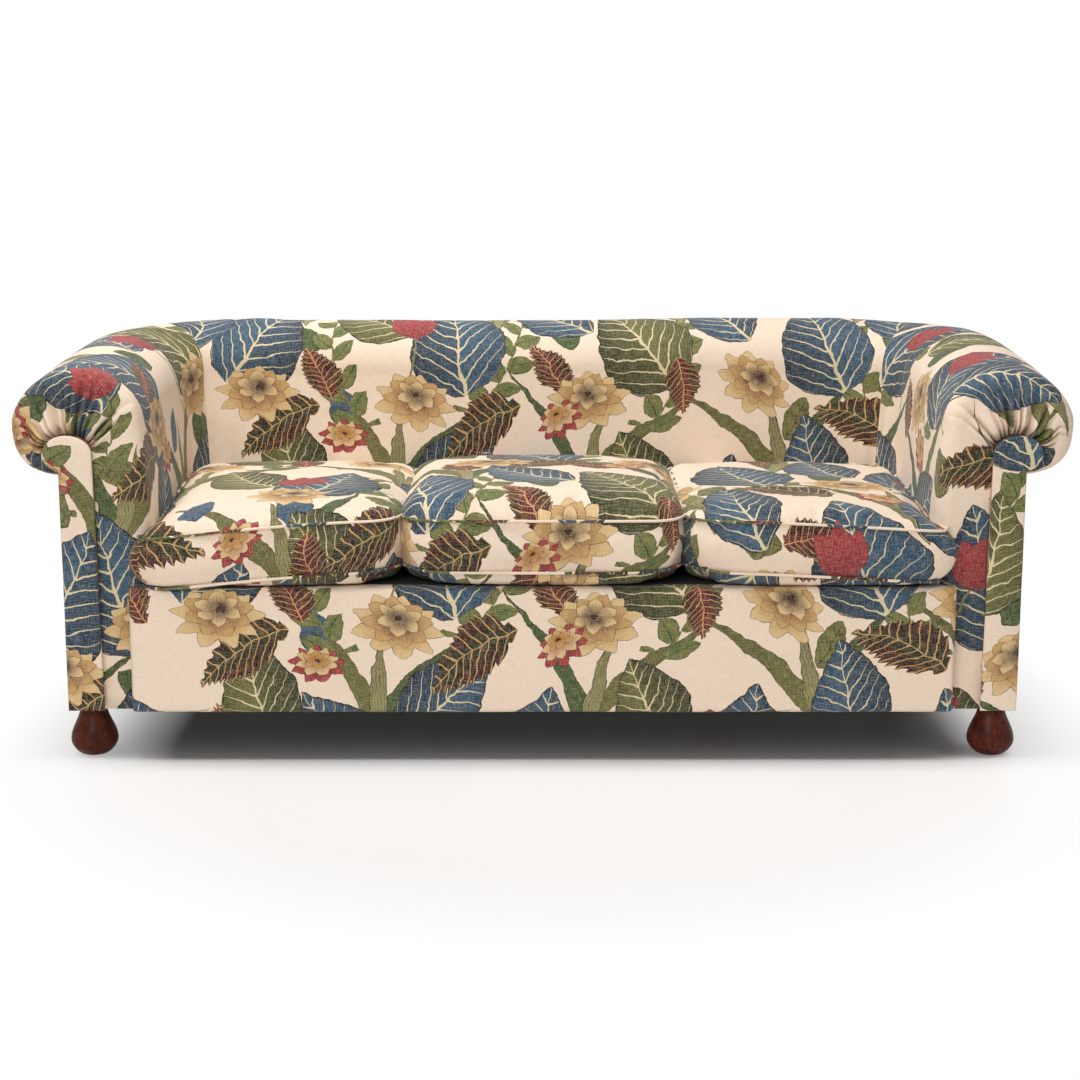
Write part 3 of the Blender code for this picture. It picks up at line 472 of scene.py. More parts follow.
def broad_leaf(t, tone_under, x, y, tint, wash, length, width, curl, fullness, blues):
    """A broad leaf with a pale and a dark half, cream veins, hatching and an inked rim."""
    y = add(t, "Math ADD", y, length / 2)
    x = bend(t, x, y, curl)
    depth, across, share, half, inside = blade(t, x, y, length, width, fullness, 0.85)
    is_green = add(t, "Math GREATER_THAN", tint, blues)
    light = add(t, "Mix", {UNDER: ink("blue"), OVER: ink("olive"), FACTOR: is_green}, **BLEND)
    dark = add(t, "Mix", {UNDER: ink("deep_blue"), OVER: ink("deep_green"), FACTOR: is_green}, **BLEND)
    from_rim = add(t, "Math DIVIDE", depth, half)
    side = add(t, "Math GREATER_THAN", x, 0)
    gloom = add(t, "Math MULTIPLY_ADD", side, 0.4, wash)
    shade = add(t, "Math MULTIPLY_ADD", from_rim, -0.45, gloom, use_clamp=True)
    tone = add(t, "Mix", {UNDER: light, OVER: dark, FACTOR: shade}, **BLEND)
    hatch = side_lines(t, across, share, length, 44, 0.9)
    worn = add(t, "Math MULTIPLY_ADD", wash, -0.55, 0.42)
    strokes = add(t, "Math LESS_THAN", hatch, worn)
    faint = add(t, "Math MULTIPLY", strokes, 0.75)
    tone = add(t, "Mix", {UNDER: tone, OVER: dark, FACTOR: faint}, **BLEND)
    vein = add(t, "Math MULTIPLY_ADD", from_rim, 0.075, 0.012)
    veins = add(t, "Math LESS_THAN", side_lines(t, across, share, length, 9, 0.9), vein)
    taper = add(t, "Math MULTIPLY_ADD", share, -0.012 * length, 0.014 * length)
    rib = add(t, "Math LESS_THAN", across, taper)
    marks = add(t, "Math MAXIMUM", veins, rib)
    tone = add(t, "Mix", {UNDER: tone, OVER: ink("vein"), FACTOR: marks}, **BLEND)
    rim = add(t, "Math LESS_THAN", depth, 2.8 * MM)
    tone = add(t, "Mix", {UNDER: tone, OVER: ink("line"), FACTOR: rim}, **BLEND)
    return add(t, "Mix", {UNDER: tone_under, OVER: tone, FACTOR: inside}, **BLEND)


def strap_leaves(t, tone_under, x, y, wash):
    """A tuft of three long narrow leaves that bow apart."""
    y = add(t, "Math ADD", y, 165 * MM)
    leaves = ((-2.6, 300, 42, "green"), (2.2, 330, 46, "olive"), (0.2, 250, 34, "pale_olive"))
    for curl, long, wide, name in leaves:
        bowed = bend(t, x, y, curl)
        depth, across, share, _, inside = blade(t, bowed, y, long * MM, wide * MM, 0.8)
        shade = add(t, "Math MULTIPLY", wash, share)
        tone = add(t, "Mix", {UNDER: ink(name), OVER: ink("deep_green"), FACTOR: shade}, **BLEND)
        along = add(t, "Math PINGPONG", add(t, "Math DIVIDE", across, 6 * MM), 0.5)
        lines = add(t, "Math LESS_THAN", along, 0.09)
        faint = add(t, "Math MULTIPLY", lines, 0.7)
        tone = add(t, "Mix", {UNDER: tone, OVER: ink("line"), FACTOR: faint}, **BLEND)
        rim = add(t, "Math LESS_THAN", depth, 1.1 * MM)
        tone = add(t, "Mix", {UNDER: tone, OVER: ink("line"), FACTOR: rim}, **BLEND)
        tone_under = add(t, "Mix", {UNDER: tone_under, OVER: tone, FACTOR: inside}, **BLEND)
    return tone_under


def toothed_leaf(t, tone_under, x, y, wash, long, wide, heart):
    """A rust leaf with a toothed edge and a heart of another colour."""
    y = add(t, "Math ADD", y, long / 2)
    x = bend(t, x, y, -2.2)
    depth, across, share, _, _ = blade(t, x, y, long, wide, 0.8)
    teeth = side_lines(t, across, share, long, 11, 0.6)
    depth = add(t, "Math MULTIPLY_ADD", teeth, -0.19 * wide, depth)
    inside = add(t, "Math GREATER_THAN", depth, 0)
    outer = add(t, "MapRange", across, 0.06 * wide, 0.24 * wide, 0.0, 1.0)
    tone = add(t, "Mix", {UNDER: ink(heart), OVER: ink("rust"), FACTOR: outer}, **BLEND)
    patches = add(t, "MapRange", wash, 0.55, 0.8, 0.0, 0.7)
    tone = add(t, "Mix", {UNDER: tone, OVER: ink("ochre"), FACTOR: patches}, **BLEND)
    lines = add(t, "Math LESS_THAN", teeth, 0.07)
    rib = add(t, "Math LESS_THAN", across, 1.2 * MM)
    marks = add(t, "Math MAXIMUM", lines, rib)
    tone = add(t, "Mix", {UNDER: tone, OVER: ink("tan"), FACTOR: marks}, **BLEND)
    return add(t, "Mix", {UNDER: tone_under, OVER: tone, FACTOR: inside}, **BLEND)


def sprig(t, tone_under, x, y, wash):
    """A bowed stem with small leaves on either side in turn."""
    x = bend(t, x, y, 1.6)
    reach = add(t, "Math ABSOLUTE", y)
    within = add(t, "Math LESS_THAN", reach, 140 * MM)
    across = add(t, "Math ABSOLUTE", x)
    stem = add(t, "Math LESS_THAN", across, 1.8 * MM)
    step = 62 * MM
    side = add(t, "Math SIGN", x)
    stagger = add(t, "Math MULTIPLY_ADD", side, step / 4, y)
    up = add(t, "Math WRAP", stagger, step * 0.7, -step * 0.3)
    place = add(t, "CombineXYZ", across, up, 0)
    turned = add(t, "VectorRotate", {"Vector": place, "Angle": 0.8}, rotation_type="Z_AXIS")
    leaf_x, leaf_y = add(t, "SeparateXYZ", turned, out=(0, 1))
    depth, wide, _, _, inside = blade(t, leaf_x, leaf_y, 66 * MM, 38 * MM, 0.85, 0.8)
    patches = add(t, "MapRange", wash, 0.35, 0.7, 0.0, 1.0)
    tone = add(t, "Mix", {UNDER: ink("olive"), OVER: ink("green"), FACTOR: patches}, **BLEND)
    line = add(t, "Math LESS_THAN", wide, 0.8 * MM)
    rim = add(t, "Math LESS_THAN", depth, 1.2 * MM)
    marks = add(t, "Math MAXIMUM", line, rim)
    tone = add(t, "Mix", {UNDER: tone, OVER: ink("deep_green"), FACTOR: marks}, **BLEND)
    stem = add(t, "Math MULTIPLY", stem, within)
    tone_under = add(t, "Mix", {UNDER: tone_under, OVER: ink("olive"), FACTOR: stem}, **BLEND)
    leaf = add(t, "Math MULTIPLY", inside, within)
    return add(t, "Mix", {UNDER: tone_under, OVER: tone, FACTOR: leaf}, **BLEND)


def small_leaf(t, tone_under, x, y, tint, wash):
    """A small oval leaf, olive, green or blue, with a dark rib and rim."""
    long = 96 * MM
    y = add(t, "Math ADD", y, long / 2)
    x = bend(t, x, y, 2.0)
    depth, across, share, _, inside = blade(t, x, y, long, 62 * MM, 0.9, 0.75)
    is_green = add(t, "Math GREATER_THAN", tint, 0.4)
    tone = add(t, "Mix", {UNDER: ink("olive"), OVER: ink("green"), FACTOR: is_green}, **BLEND)
    is_blue = add(t, "Math GREATER_THAN", tint, 0.75)
    tone = add(t, "Mix", {UNDER: tone, OVER: ink("blue"), FACTOR: is_blue}, **BLEND)
    shade = add(t, "MapRange", wash, 0.4, 0.75, 0.0, 0.8)
    tone = add(t, "Mix", {UNDER: tone, OVER: ink("deep_green"), FACTOR: shade}, **BLEND)
    lines = add(t, "Math LESS_THAN", side_lines(t, across, share, long, 7, 0.8), 0.06)
    rim = add(t, "Math LESS_THAN", depth, 1.4 * MM)
    rib = add(t, "Math LESS_THAN", across, 0.9 * MM)
    marks = add(t, "Math MAXIMUM", add(t, "Math MAXIMUM", lines, rib), rim)
    faint = add(t, "Math MULTIPLY", marks, 0.75)
    tone = add(t, "Mix", {UNDER: tone, OVER: ink("line"), FACTOR: faint}, **BLEND)
    return add(t, "Mix", {UNDER: tone_under, OVER: tone, FACTOR: inside}, **BLEND)


def petals(t, tone_under, x, y, count, twist, size, light, dark, wash):
    """A ring of petals with inked rims and streaks, darker towards their base."""
    angle = add(t, "Math ADD", add(t, "Math ARCTAN2", x, y), twist)
    sector = math.tau / count
    folded = add(t, "Math WRAP", angle, sector / 2, -sector / 2)
    radius = add(t, "VectorMath LENGTH", add(t, "CombineXYZ", x, y, 0), out=1)
    px = add(t, "Math MULTIPLY", radius, add(t, "Math SINE", folded))
    py = add(t, "Math MULTIPLY", radius, add(t, "Math COSINE", folded))
    long, wide = size
    depth, across, share, half, inside = blade(t, px, py, long * MM, wide * MM, 1.25, 0.8)
    base = add(t, "MapRange", share, 0.25, 0.8, 1.0, 0.0)
    streak = add(t, "Math MULTIPLY", base, wash)
    flush = add(t, "Math MULTIPLY", streak, 1.6, use_clamp=True)
    tone = add(t, "Mix", {UNDER: ink(light), OVER: ink(dark), FACTOR: flush}, **BLEND)
    beat = add(t, "Math MULTIPLY", add(t, "Math DIVIDE", across, half), 2.5)
    fine = add(t, "Math LESS_THAN", add(t, "Math PINGPONG", beat, 0.5), 0.07)
    strokes = add(t, "Math MULTIPLY", fine, base)
    tone = add(t, "Mix", {UNDER: tone, OVER: ink(dark), FACTOR: strokes}, **BLEND)
    rim = add(t, "Math LESS_THAN", depth, 1.2 * MM)
    tone = add(t, "Mix", {UNDER: tone, OVER: ink("rust"), FACTOR: rim}, **BLEND)
    return add(t, "Mix", {UNDER: tone_under, OVER: tone, FACTOR: inside}, **BLEND), radius


def flower(t, tone_under, x, y, size, inks, wash):
    """An open flower of three rings of petals round a dark eye."""
    rings = ((9, 0.0, 1.0, 0.48, 0.0), (8, 0.33, 0.78, 0.46, 0.14), (6, 0.1, 0.52, 0.36, 0.26))
    for (count, twist, long, wide, lift), (light, dark) in zip(rings, inks):
        petal = (long * size, wide * size)
        tilted = add(t, "Math MULTIPLY_ADD", y, 1.45, -lift * size * MM)
        tone_under, radius = petals(t, tone_under, x, tilted, count, twist, petal, light, dark, wash)
    eye = add(t, "Math LESS_THAN", radius, 0.09 * size * MM)
    return add(t, "Mix", {UNDER: tone_under, OVER: ink("rust"), FACTOR: eye}, **BLEND)


def bud(t, tone_under, x, y, wash):
    """A rose bud of three petals on a bowed stem."""
    down = add(t, "Math LESS_THAN", y, -30 * MM)
    above_end = add(t, "Math GREATER_THAN", y, -200 * MM)
    bowed = bend(t, x, add(t, "Math ADD", y, 30 * MM), 1.6)
    stem = add(t, "Math LESS_THAN", add(t, "Math ABSOLUTE", bowed), 2.6 * MM)
    stem = add(t, "Math MULTIPLY", add(t, "Math MULTIPLY", stem, down), above_end)
    tone_under = add(t, "Mix", {UNDER: tone_under, OVER: ink("olive"), FACTOR: stem}, **BLEND)
    y = add(t, "Math ADD", y, 48 * MM)
    mirrored = add(t, "CombineXYZ", add(t, "Math ABSOLUTE", x), y, 0)
    turned = add(t, "VectorRotate", {"Vector": mirrored, "Angle": 0.40}, rotation_type="Z_AXIS")
    side_x, side_y = add(t, "SeparateXYZ", turned, out=(0, 1))
    for px, py, long, wide in ((side_x, side_y, 104, 58), (x, y, 112, 64)):
        depth, across, share, _, inside = blade(t, px, py, long * MM, wide * MM, 0.9, 0.85)
        blush = add(t, "Math ADD", wash, share, use_clamp=True)
        tone = add(t, "Mix", {UNDER: ink("maroon"), OVER: ink("rose"), FACTOR: blush}, **BLEND)
        beat = add(t, "Math PINGPONG", add(t, "Math DIVIDE", across, 5 * MM), 0.5)
        fine = add(t, "Math LESS_THAN", beat, 0.07)
        rim = add(t, "Math LESS_THAN", depth, 1.2 * MM)
        marks = add(t, "Math MAXIMUM", fine, rim)
        tone = add(t, "Mix", {UNDER: tone, OVER: ink("maroon"), FACTOR: marks}, **BLEND)
        tone_under = add(t, "Mix", {UNDER: tone_under, OVER: tone, FACTOR: inside}, **BLEND)
    return tone_under


def print_botanicals(t, cloth):
    """The printed colour: leaves, sprigs, buds and flowers scattered in layers over bare linen."""
    wobble = add(t, "TexNoise", {"Vector": cloth, "Scale": 24.0, "Detail": 3.0}, out="Color")
    centred = add(t, "VectorMath SUBTRACT", wobble, (0.5, 0.5, 0.5))
    drawn = add(t, "VectorMath MULTIPLY_ADD", centred, (0.024, 0.024, 0), cloth)
    wash = add(t, "TexNoise", {"Vector": cloth, "Scale": 45.0, "Detail": 4.0, "Roughness": 0.6})
    x, y, _ = scatter(t, drawn, (100, 190), 0.0, 0.25, 7.0, skip=0.1, cells=0.97)
    tone = strap_leaves(t, ink("ground"), x, y, wash)
    x, y, tint = scatter(t, drawn, (60, 30), 0.6, 1.4, 9.0, stray=30, skip=0.35, cells=2.1)
    tone = small_leaf(t, tone, x, y, tint, wash)
    x, y, _ = scatter(t, drawn, (300, 355), 0.3, 0.5, 3.0, stray=20, skip=0.2, cells=1.06)
    tone = sprig(t, tone, x, y, wash)
    x, y, tint = scatter(t, drawn, (0, 0), 0.5, 0.3, 1.0)
    tone = broad_leaf(t, tone, x, y, tint, wash, 290 * MM, 215 * MM, 0.5, 0.66, 0.8)
    x, y, tint = scatter(t, drawn, (205, 100), -0.8, 0.5, 2.0, stray=20, cells=1.04)
    tone = broad_leaf(t, tone, x, y, tint, wash, 245 * MM, 165 * MM, -0.8, 0.9, 0.6)
    x, y, _ = scatter(t, drawn, (275, 255), 1.1, 0.7, 5.0, stray=25, skip=0.15, cells=0.91)
    tone = toothed_leaf(t, tone, x, y, wash, 200 * MM, 125 * MM, "deep_green")
    x, y, _ = scatter(t, drawn, (180, 40), 0.0, 2.8, 10.0, stray=40, skip=0.45, cells=1.45)
    tone = toothed_leaf(t, tone, x, y, wash, 130 * MM, 86 * MM, "maroon")
    x, y, _ = scatter(t, drawn, (350, 20), 0.0, 0.5, 6.0, stray=25, skip=0.3, cells=0.95)
    tone = bud(t, tone, x, y, wash)
    x, y, _ = scatter(t, drawn, (110, 300), 0.0, 0.7, 4.0, stray=30, skip=0.1, cells=1.09)
    tan_inks = (("pale_tan", "ochre"), ("tan", "maroon"), ("pale_tan", "rust"))
    tone = flower(t, tone, x, y, 92, tan_inks, wash)
    x, y, _ = scatter(t, drawn, (15, 210), 0.0, 0.7, 8.0, stray=30, skip=0.2, cells=0.93)
    rose_inks = (("rose", "maroon"), ("pale_tan", "rose"), ("tan", "ochre"))
    return flower(t, tone, x, y, 56, rose_inks, wash)


def printed_linen():
    """Plain-weave linen, screen printed: matt, with slubbed threads that take the ink unevenly, and
    painted shade and highlight on the threads' relief.
    """
    # Linen threads are about 0.5 mm apart, too fine to show here, so only its thicker slubs are drawn
    material, t, shader = new_material(
        "printed plain-weave linen", 0.88, Sheen_Weight=0.12, IOR=1.45, Specular_IOR_Level=0.25
    )
    cloth = add(t, "UVMap", uv_map="cloth")
    tone = print_botanicals(t, cloth)
    fine = 1 / bpy.context.scene.sofa_sizes.thread
    coarse = fine / 9
    slubs = []
    for stretch in ((fine, coarse, 1), (coarse, fine, 1)):
        stretched = add(t, "Mapping", {"Vector": cloth, "Scale": stretch})
        slubs.append(add(t, "TexNoise", {"Vector": stretched, "Scale": 1.0, "Detail": 2.0}))
    threads = add(t, "Math ADD", *slubs)
    thin = add(t, "MapRange", threads, 0.9, 1.35, 0.0, 0.22)
    tone = add(t, "Mix", {UNDER: tone, OVER: ink("ground"), FACTOR: thin}, **BLEND)
    # Painted shade and highlight: the colour darkens where the slubbed threads lie low and lightens
    # where they stand up
    painted_thread_shade = add(t, "MapRange", threads, 0.7, 1.3, 0.90, 1.04)
    tone = add(t, "VectorMath MULTIPLY", tone, painted_thread_shade)
    t.links.new(tone, shader.inputs["Base Color"])
    bump = add(t, "Bump", {"Strength": 1.0, "Distance": 0.35 * MM, "Height": threads})
    t.links.new(bump, shader.inputs["Normal"])
    return material


def stained_wood():
    """Turned hardwood, stained dark and lacquered: a warm gloss over grain and fine lathe rings."""
    material, t, shader = new_material(
        "stained and lacquered turned hardwood", 0.4, IOR=1.4, Specular_IOR_Level=0.12, Coat_Weight=0.05,
        Coat_Roughness=0.15,
    )
    place = add(t, "TexCoord", out="Object")
    stretched = add(t, "Mapping", {"Vector": place, "Scale": (260, 260, 26)})
    grain = add(t, "TexNoise", {"Vector": stretched, "Scale": 1.0, "Detail": 5.0, "Roughness": 0.6})
    cloud = add(t, "TexNoise", {"Vector": place, "Scale": 28.0, "Detail": 3.0})
    dark = finish_colour("dark_stain")
    lines = add(t, "MapRange", grain, 0.42, 0.68, 0, 0.7)
    tone = add(t, "Mix", {UNDER: finish_colour("stain"), OVER: dark, FACTOR: lines}, **BLEND)
    patches = add(t, "MapRange", cloud, 0.4, 0.7, 0, 0.75)
    tone = add(t, "Mix", {UNDER: tone, OVER: dark, FACTOR: patches}, **BLEND)
    t.links.new(tone, shader.inputs["Base Color"])
    rough = add(t, "MapRange", cloud, 0.3, 0.7, 0.32, 0.5)
    t.links.new(rough, shader.inputs["Roughness"])
    rings = add(
        t, "TexWave", {"Vector": place, "Scale": 330.0, "Distortion": 1.5, "Detail": 2.0}, out="Fac",
        wave_type="BANDS", bands_direction="Z",
    )
    height = add(t, "Math MULTIPLY_ADD", rings, 0.4, grain)
    bump = add(t, "Bump", {"Strength": 1.0, "Distance": 0.12 * MM, "Height": height})
    t.links.new(bump, shader.inputs["Normal"])
    return material


def beech():
    """Planed beech, left bare: pale, with short darker flecks along the grain."""
    material, t, shader = new_material("planed beech", 0.6, IOR=1.5)
    place = add(t, "TexCoord", out="Object")
    stretched = add(t, "Mapping", {"Vector": place, "Scale": (60, 320, 320)})
    flecks = add(t, "TexNoise", {"Vector": stretched, "Scale": 1.0, "Detail": 4.0})
    boards = add(t, "TexNoise", {"Vector": place, "Scale": 5.0, "Detail": 2.0})
    dark = finish_colour("beech_fleck")
    lines = add(t, "MapRange", flecks, 0.5, 0.7, 0, 0.8)
    tone = add(t, "Mix", {UNDER: finish_colour("beech"), OVER: dark, FACTOR: lines}, **BLEND)
    patches = add(t, "MapRange", boards, 0.4, 0.8, 0, 0.5)
    tone = add(t, "Mix", {UNDER: tone, OVER: dark, FACTOR: patches}, **BLEND)
    t.links.new(tone, shader.inputs["Base Color"])
    bump = add(t, "Bump", {"Strength": 1.0, "Distance": 0.1 * MM, "Height": flecks})
    t.links.new(bump, shader.inputs["Normal"])
    return material


def spring_wire():
    """Drawn steel wire: a dull metal gleam, streaked by the die."""
    material, t, shader = new_material("drawn steel spring wire", 0.35, Metallic=1.0)
    place = add(t, "TexCoord", out="Object")
    streaks = add(t, "TexNoise", {"Vector": place, "Scale": 180.0, "Detail": 3.0})
    dark = finish_colour("dark_wire")
    lines = add(t, "MapRange", streaks, 0.4, 0.75, 0, 0.7)
    tone = add(t, "Mix", {UNDER: finish_colour("wire"), OVER: dark, FACTOR: lines}, **BLEND)
    t.links.new(tone, shader.inputs["Base Color"])
    rough = add(t, "MapRange", streaks, 0.3, 0.7, 0.28, 0.5)
    t.links.new(rough, shader.inputs["Roughness"])
    return material


def woven(name, light, dark, spacing, roughness):
    """A plain coarse weave of over-and-under yarns, a spacing apart, with painted shade in the gaps and
    painted light on the raised yarns.
    """
    material, t, shader = new_material(name, roughness, IOR=1.45)
    place = add(t, "TexCoord", out="Object")
    counted = add(t, "Mapping", {"Vector": place, "Scale": [1 / spacing] * 3})
    across, along = add(t, "SeparateXYZ", counted, out=(0, 1))
    weft = add(t, "Math PINGPONG", across, 1.0)
    warp = add(t, "Math PINGPONG", along, 1.0)
    over = add(t, "Math MULTIPLY", weft, warp)
    fuzz = add(t, "TexNoise", {"Vector": place, "Scale": 0.4 / spacing, "Detail": 3.0})
    height = add(t, "Math ADD", over, fuzz)
    # Painted shade and light: the colour darkens in the gaps between yarns and lightens on the yarns
    # that stand up
    raised = add(t, "MapRange", height, 0.3, 1.0, 0.0, 1.0)
    tone = add(t, "Mix", {UNDER: dark, OVER: light, FACTOR: raised}, **BLEND)
    t.links.new(tone, shader.inputs["Base Color"])
    bump = add(t, "Bump", {"Strength": 1.0, "Distance": 0.4 * spacing, "Height": height})
    t.links.new(bump, shader.inputs["Normal"])
    return material


def jute():
    """Woven jute: dull golden yarns with painted shade in the gaps between them."""
    # Hessian's yarns are about 2 mm apart
    return woven("woven jute", finish_colour("jute"), finish_colour("jute_gap_shade"), 2 * MM, 0.9)


def lining_cloth():
    """Black cotton lining: matt, with a fine even weave and painted shade between its threads."""
    # The weave is drawn at 1.5 mm so that it shows
    dark = finish_colour("lining_gap_shade")
    return woven("black cotton lining", finish_colour("lining"), dark, 1.5 * MM, 0.85)


MATERIALS = {}


def fetch(make):
    """A material by the function that makes it, made once."""
    if make.__name__ not in MATERIALS:
        MATERIALS[make.__name__] = make()
    return MATERIALS[make.__name__]


def smooth(share):
    """Ease a share between 0 and 1."""
    share = min(max(share, 0.0), 1.0)
    return share * share * (3 - 2 * share)


def even(first, last, steps):
    """Places from one to another in even steps, with both ends."""
    return [first + (last - first) * step / steps for step in range(steps + 1)]


class Stop:
    """A place along the roll's crest line on one side, measured from the arm front."""

    def __init__(self, run, side):
        turn = min(max((run - STRAIGHT_RUN) / CORNER_RADIUS, 0), math.pi / 2)
        past = max(run - BACK_RUN, 0)
        self.run = run
        self.side = side
        self.crest = ARM_HEIGHT + (BACK_HEIGHT - ARM_HEIGHT) * min(run / BACK_RUN, 1)
        self.lean = ARM_LEAN + (BACK_LEAN - ARM_LEAN) * turn / (math.pi / 2)
        self.puff = FRONT_PUFF * (1 - smooth((run - FRONT_RADIUS) / PUFF_RUN))
        self.outward = Vector((side * math.cos(turn), math.sin(turn), 0))
        centre = Vector((side * (CORNER_X - past), ARM_FRONT_Y + min(run, STRAIGHT_RUN), 0))
        self.point = centre + self.outward * CORNER_RADIUS
        self.crest += ARM_SWELL[side] * math.sin(math.pi * min(run / SWELL_RUN, 1))
        self.crest -= BACK_SAG * smooth(past / SAG_RUN) * smooth((SAG_END - centre.x) / SAG_FADE)

    def place(self, out, height):
        """The point at a distance outside the crest line and a height above the floor."""
        return self.point + self.outward * out + Vector((0, 0, height))

    def bolt(self, out):
        """Where the cloth lies along its bolt: whole over the crest, darted in the corner below it."""
        inner = 1 - smooth((out + ROLL_WIDTH / 2) / (DART_FADE * ROLL_WIDTH))
        taken = inner * min(max(-out / CORNER_RADIUS, 0), 1)
        if self.run <= MITRE_RUN:
            run = self.run - max(self.run - STRAIGHT_RUN, 0) * taken
        else:
            run = self.run + max(BACK_RUN - self.run, 0) * taken
        return self.side * (MIDDLE_RUN - run)


def hook(stop, inset=0.0):
    """The cover's section at a stop: inside face, roll and underside, as distances out and heights."""
    half_width = ROLL_WIDTH / 2 - inset
    centre = stop.crest - ROLL_RISE
    foot = inset - ROLL_WIDTH / 2 - stop.lean
    points = []
    for step in range(INSIDE_STEPS):
        share = step / INSIDE_STEPS
        out = foot + (-half_width - foot) * share - INSIDE_CROWN * math.sin(math.pi * share)
        points.append((out, TUCK_LEVEL + (centre - TUCK_LEVEL) * share))
    for step in range(ROLL_STEPS + 1):
        turn = math.pi * (1 - step / ROLL_STEPS)
        # The puff fills the outer side of the roll and draws its shoulder in
        fuller = max(math.cos(turn), 0) ** 3 - 0.5 * max(math.sin(2 * turn), 0)
        wide = half_width + stop.puff * fuller
        points.append((wide * math.cos(turn), centre + (ROLL_RISE - inset) * math.sin(turn)))
    power = 2 / ROLL_FULLNESS
    wide = half_width + stop.puff
    under_turn = math.acos(((OUTSIDE + stop.puff) / wide) ** (1 / power))
    for step in range(1, UNDER_STEPS + 1):
        turn = under_turn * (step / UNDER_STEPS) ** (1 / power)
        drop = (ROLL_DROP + stop.puff - inset) * math.sin(turn) ** power
        points.append((wide * math.cos(turn) ** power, centre - drop))
    return points


def distances(points):
    """How far along an outline each of its points lies."""
    along = [0.0]
    for here, there in zip(points, points[1:]):
        along.append(along[-1] + math.dist(here, there))
    return along


def lay_cloth(rows):
    """A grid of cloth from rows of points, each given with its place on the bolt."""
    columns = len(rows[0])
    bm = bmesh.new()
    bmesh.ops.create_grid(bm, x_segments=columns - 1, y_segments=len(rows) - 1, size=1)
    bm.verts.ensure_lookup_table()
    bolt = bm.loops.layers.uv.new("cloth")
    spots = {}
    for row, line in enumerate(rows):
        for column, (point, u, v) in enumerate(line):
            vertex = bm.verts[row * columns + column]
            vertex.co = point
            spots[vertex] = Vector((u, v))
    for face in bm.faces:
        for loop in face.loops:
            loop[bolt].uv = spots[loop.vert]
    return bm, bolt, spots


def face_away(bm, inside):
    """Turn a sheet's faces so that the one furthest from a point looks away from it."""
    bm.normal_update()
    far = max(bm.faces, key=lambda face: (face.calc_center_median() - inside).length)
    if far.normal.dot(far.calc_center_median() - inside) < 0:
        bmesh.ops.reverse_faces(bm, faces=bm.faces)
    bm.normal_update()


def unevenness(point):
    """How uneven the padding is at a point, from about -1 to 1."""
    return sum(strength * noise.noise(point * many) for many, strength in LUMPS)


def soften(bm, amount, hold=None):
    """Push the points in and out along their normals, as uneven padding does."""
    bm.normal_update()
    moves = [(vertex, vertex.normal * amount * unevenness(vertex.co)) for vertex in bm.verts]
    for vertex, move in moves:
        vertex.co += move * (hold(vertex.co) if hold else 1)


def make_piece(name, bm, make, nodes, body="sofa_frame"):
    """Turn a bmesh into a finished object that rides on a body and stands for CAD nodes."""
    mesh = bpy.data.meshes.new(name)
    bm.to_mesh(mesh)
    bm.free()
    mesh.shade_smooth()
    mesh.materials.append(fetch(make))
    piece = bpy.data.objects.new(name, mesh)
    bpy.context.scene.collection.objects.link(piece)
    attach(piece, body)
    if nodes:
        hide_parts(*nodes)
    return piece


def thicken(piece, thickness):
    """Give a sheet its thickness on the inner side."""
    wall = piece.modifiers.new("thickness", "SOLIDIFY")
    wall.thickness = thickness
    wall.offset = -1


def subdivide(piece):
    """Round a piece off with one level of subdivision surface."""
    rounding = piece.modifiers.new("rounding", "SUBSURF")
    rounding.levels = 1
    rounding.render_levels = 1


def cover_row(stop, sizes):
    """One row of a cover across the roll at a stop, drawn in by the tuck in the back corner."""
    section = hook(stop)
    near = math.exp(-(((stop.run - MITRE_RUN) / TUCK_WIDTH) ** 2))
    row = []
    for (out, height), up in zip(section, distances(section)):
        rise = (height - TUCK_LEVEL) / (stop.crest - TUCK_LEVEL)
        fade = 1 - smooth((rise - TUCK_FADE_FROM) / TUCK_FADE) if out < 0 else 0
        tuck = sizes.tuck_depth * near * fade
        row.append((stop.place(out + tuck, height), stop.bolt(out), up))
    return row


def corner_runs(first, last, steps):
    """Runs from one to another, closer together towards the last."""
    shares = [1 - (1 - step / steps) ** CORNER_CROWDING for step in range(1, steps + 1)]
    return [first + (last - first) * share for share in shares]


def facing_target(height, share):
    """Where the gathered cloth of a scroll front goes under the facing, as distance out and height."""
    head_height = FACING_HIGH.z - FACING_HEAD_RISE
    if share <= 0:
        inner = FACING_LOW.x - CREST_X + FRONT_PUFF + GATHER_TUCK
        climb = (height - BODY_BOTTOM) / (head_height - BODY_BOTTOM)
        return inner + FACING_NECK * climb, height
    turn = math.pi + (GATHER_END - math.pi) * share
    out = FACING_HEAD_OUT + FRONT_PUFF + (FACING_HEAD - GATHER_TUCK) * math.cos(turn)
    return out, head_height + (FACING_HEAD_RISE - GATHER_TUCK) * math.sin(turn)


def chance(number, seed):
    """A value between 0 and 1 that looks random but is always the same for a number."""
    return math.sin(number * 12.9898 + seed) * 43758.5453 % 1


def pleat_fall(share, reach, sizes):
    """How deep the cloth lies between its pleats: 0 on a ridge, about 1 in a fold."""
    spread = sum((far * math.sin(often * share + start) for far, often, start in PLEAT_DRIFT), share)
    folds = spread * sizes.pleats
    strength = LEAST_PLEAT + (1 - LEAST_PLEAT) * chance(round(folds), 3)
    begin = PLEAT_STRAY * chance(round(folds), 8) + PLEAT_FROM
    fold = 1 - abs(math.sin(math.pi * folds)) ** PLEAT_SHARPNESS
    return strength * fold * smooth((reach - begin) / PLEAT_GROWTH)


def fan_share(share):
    """How much of the pleats shows at a share of the way round a scroll front."""
    return smooth(share / FAN_FADE_IN) * smooth((FAN_END - share) / FAN_FADE_OUT)


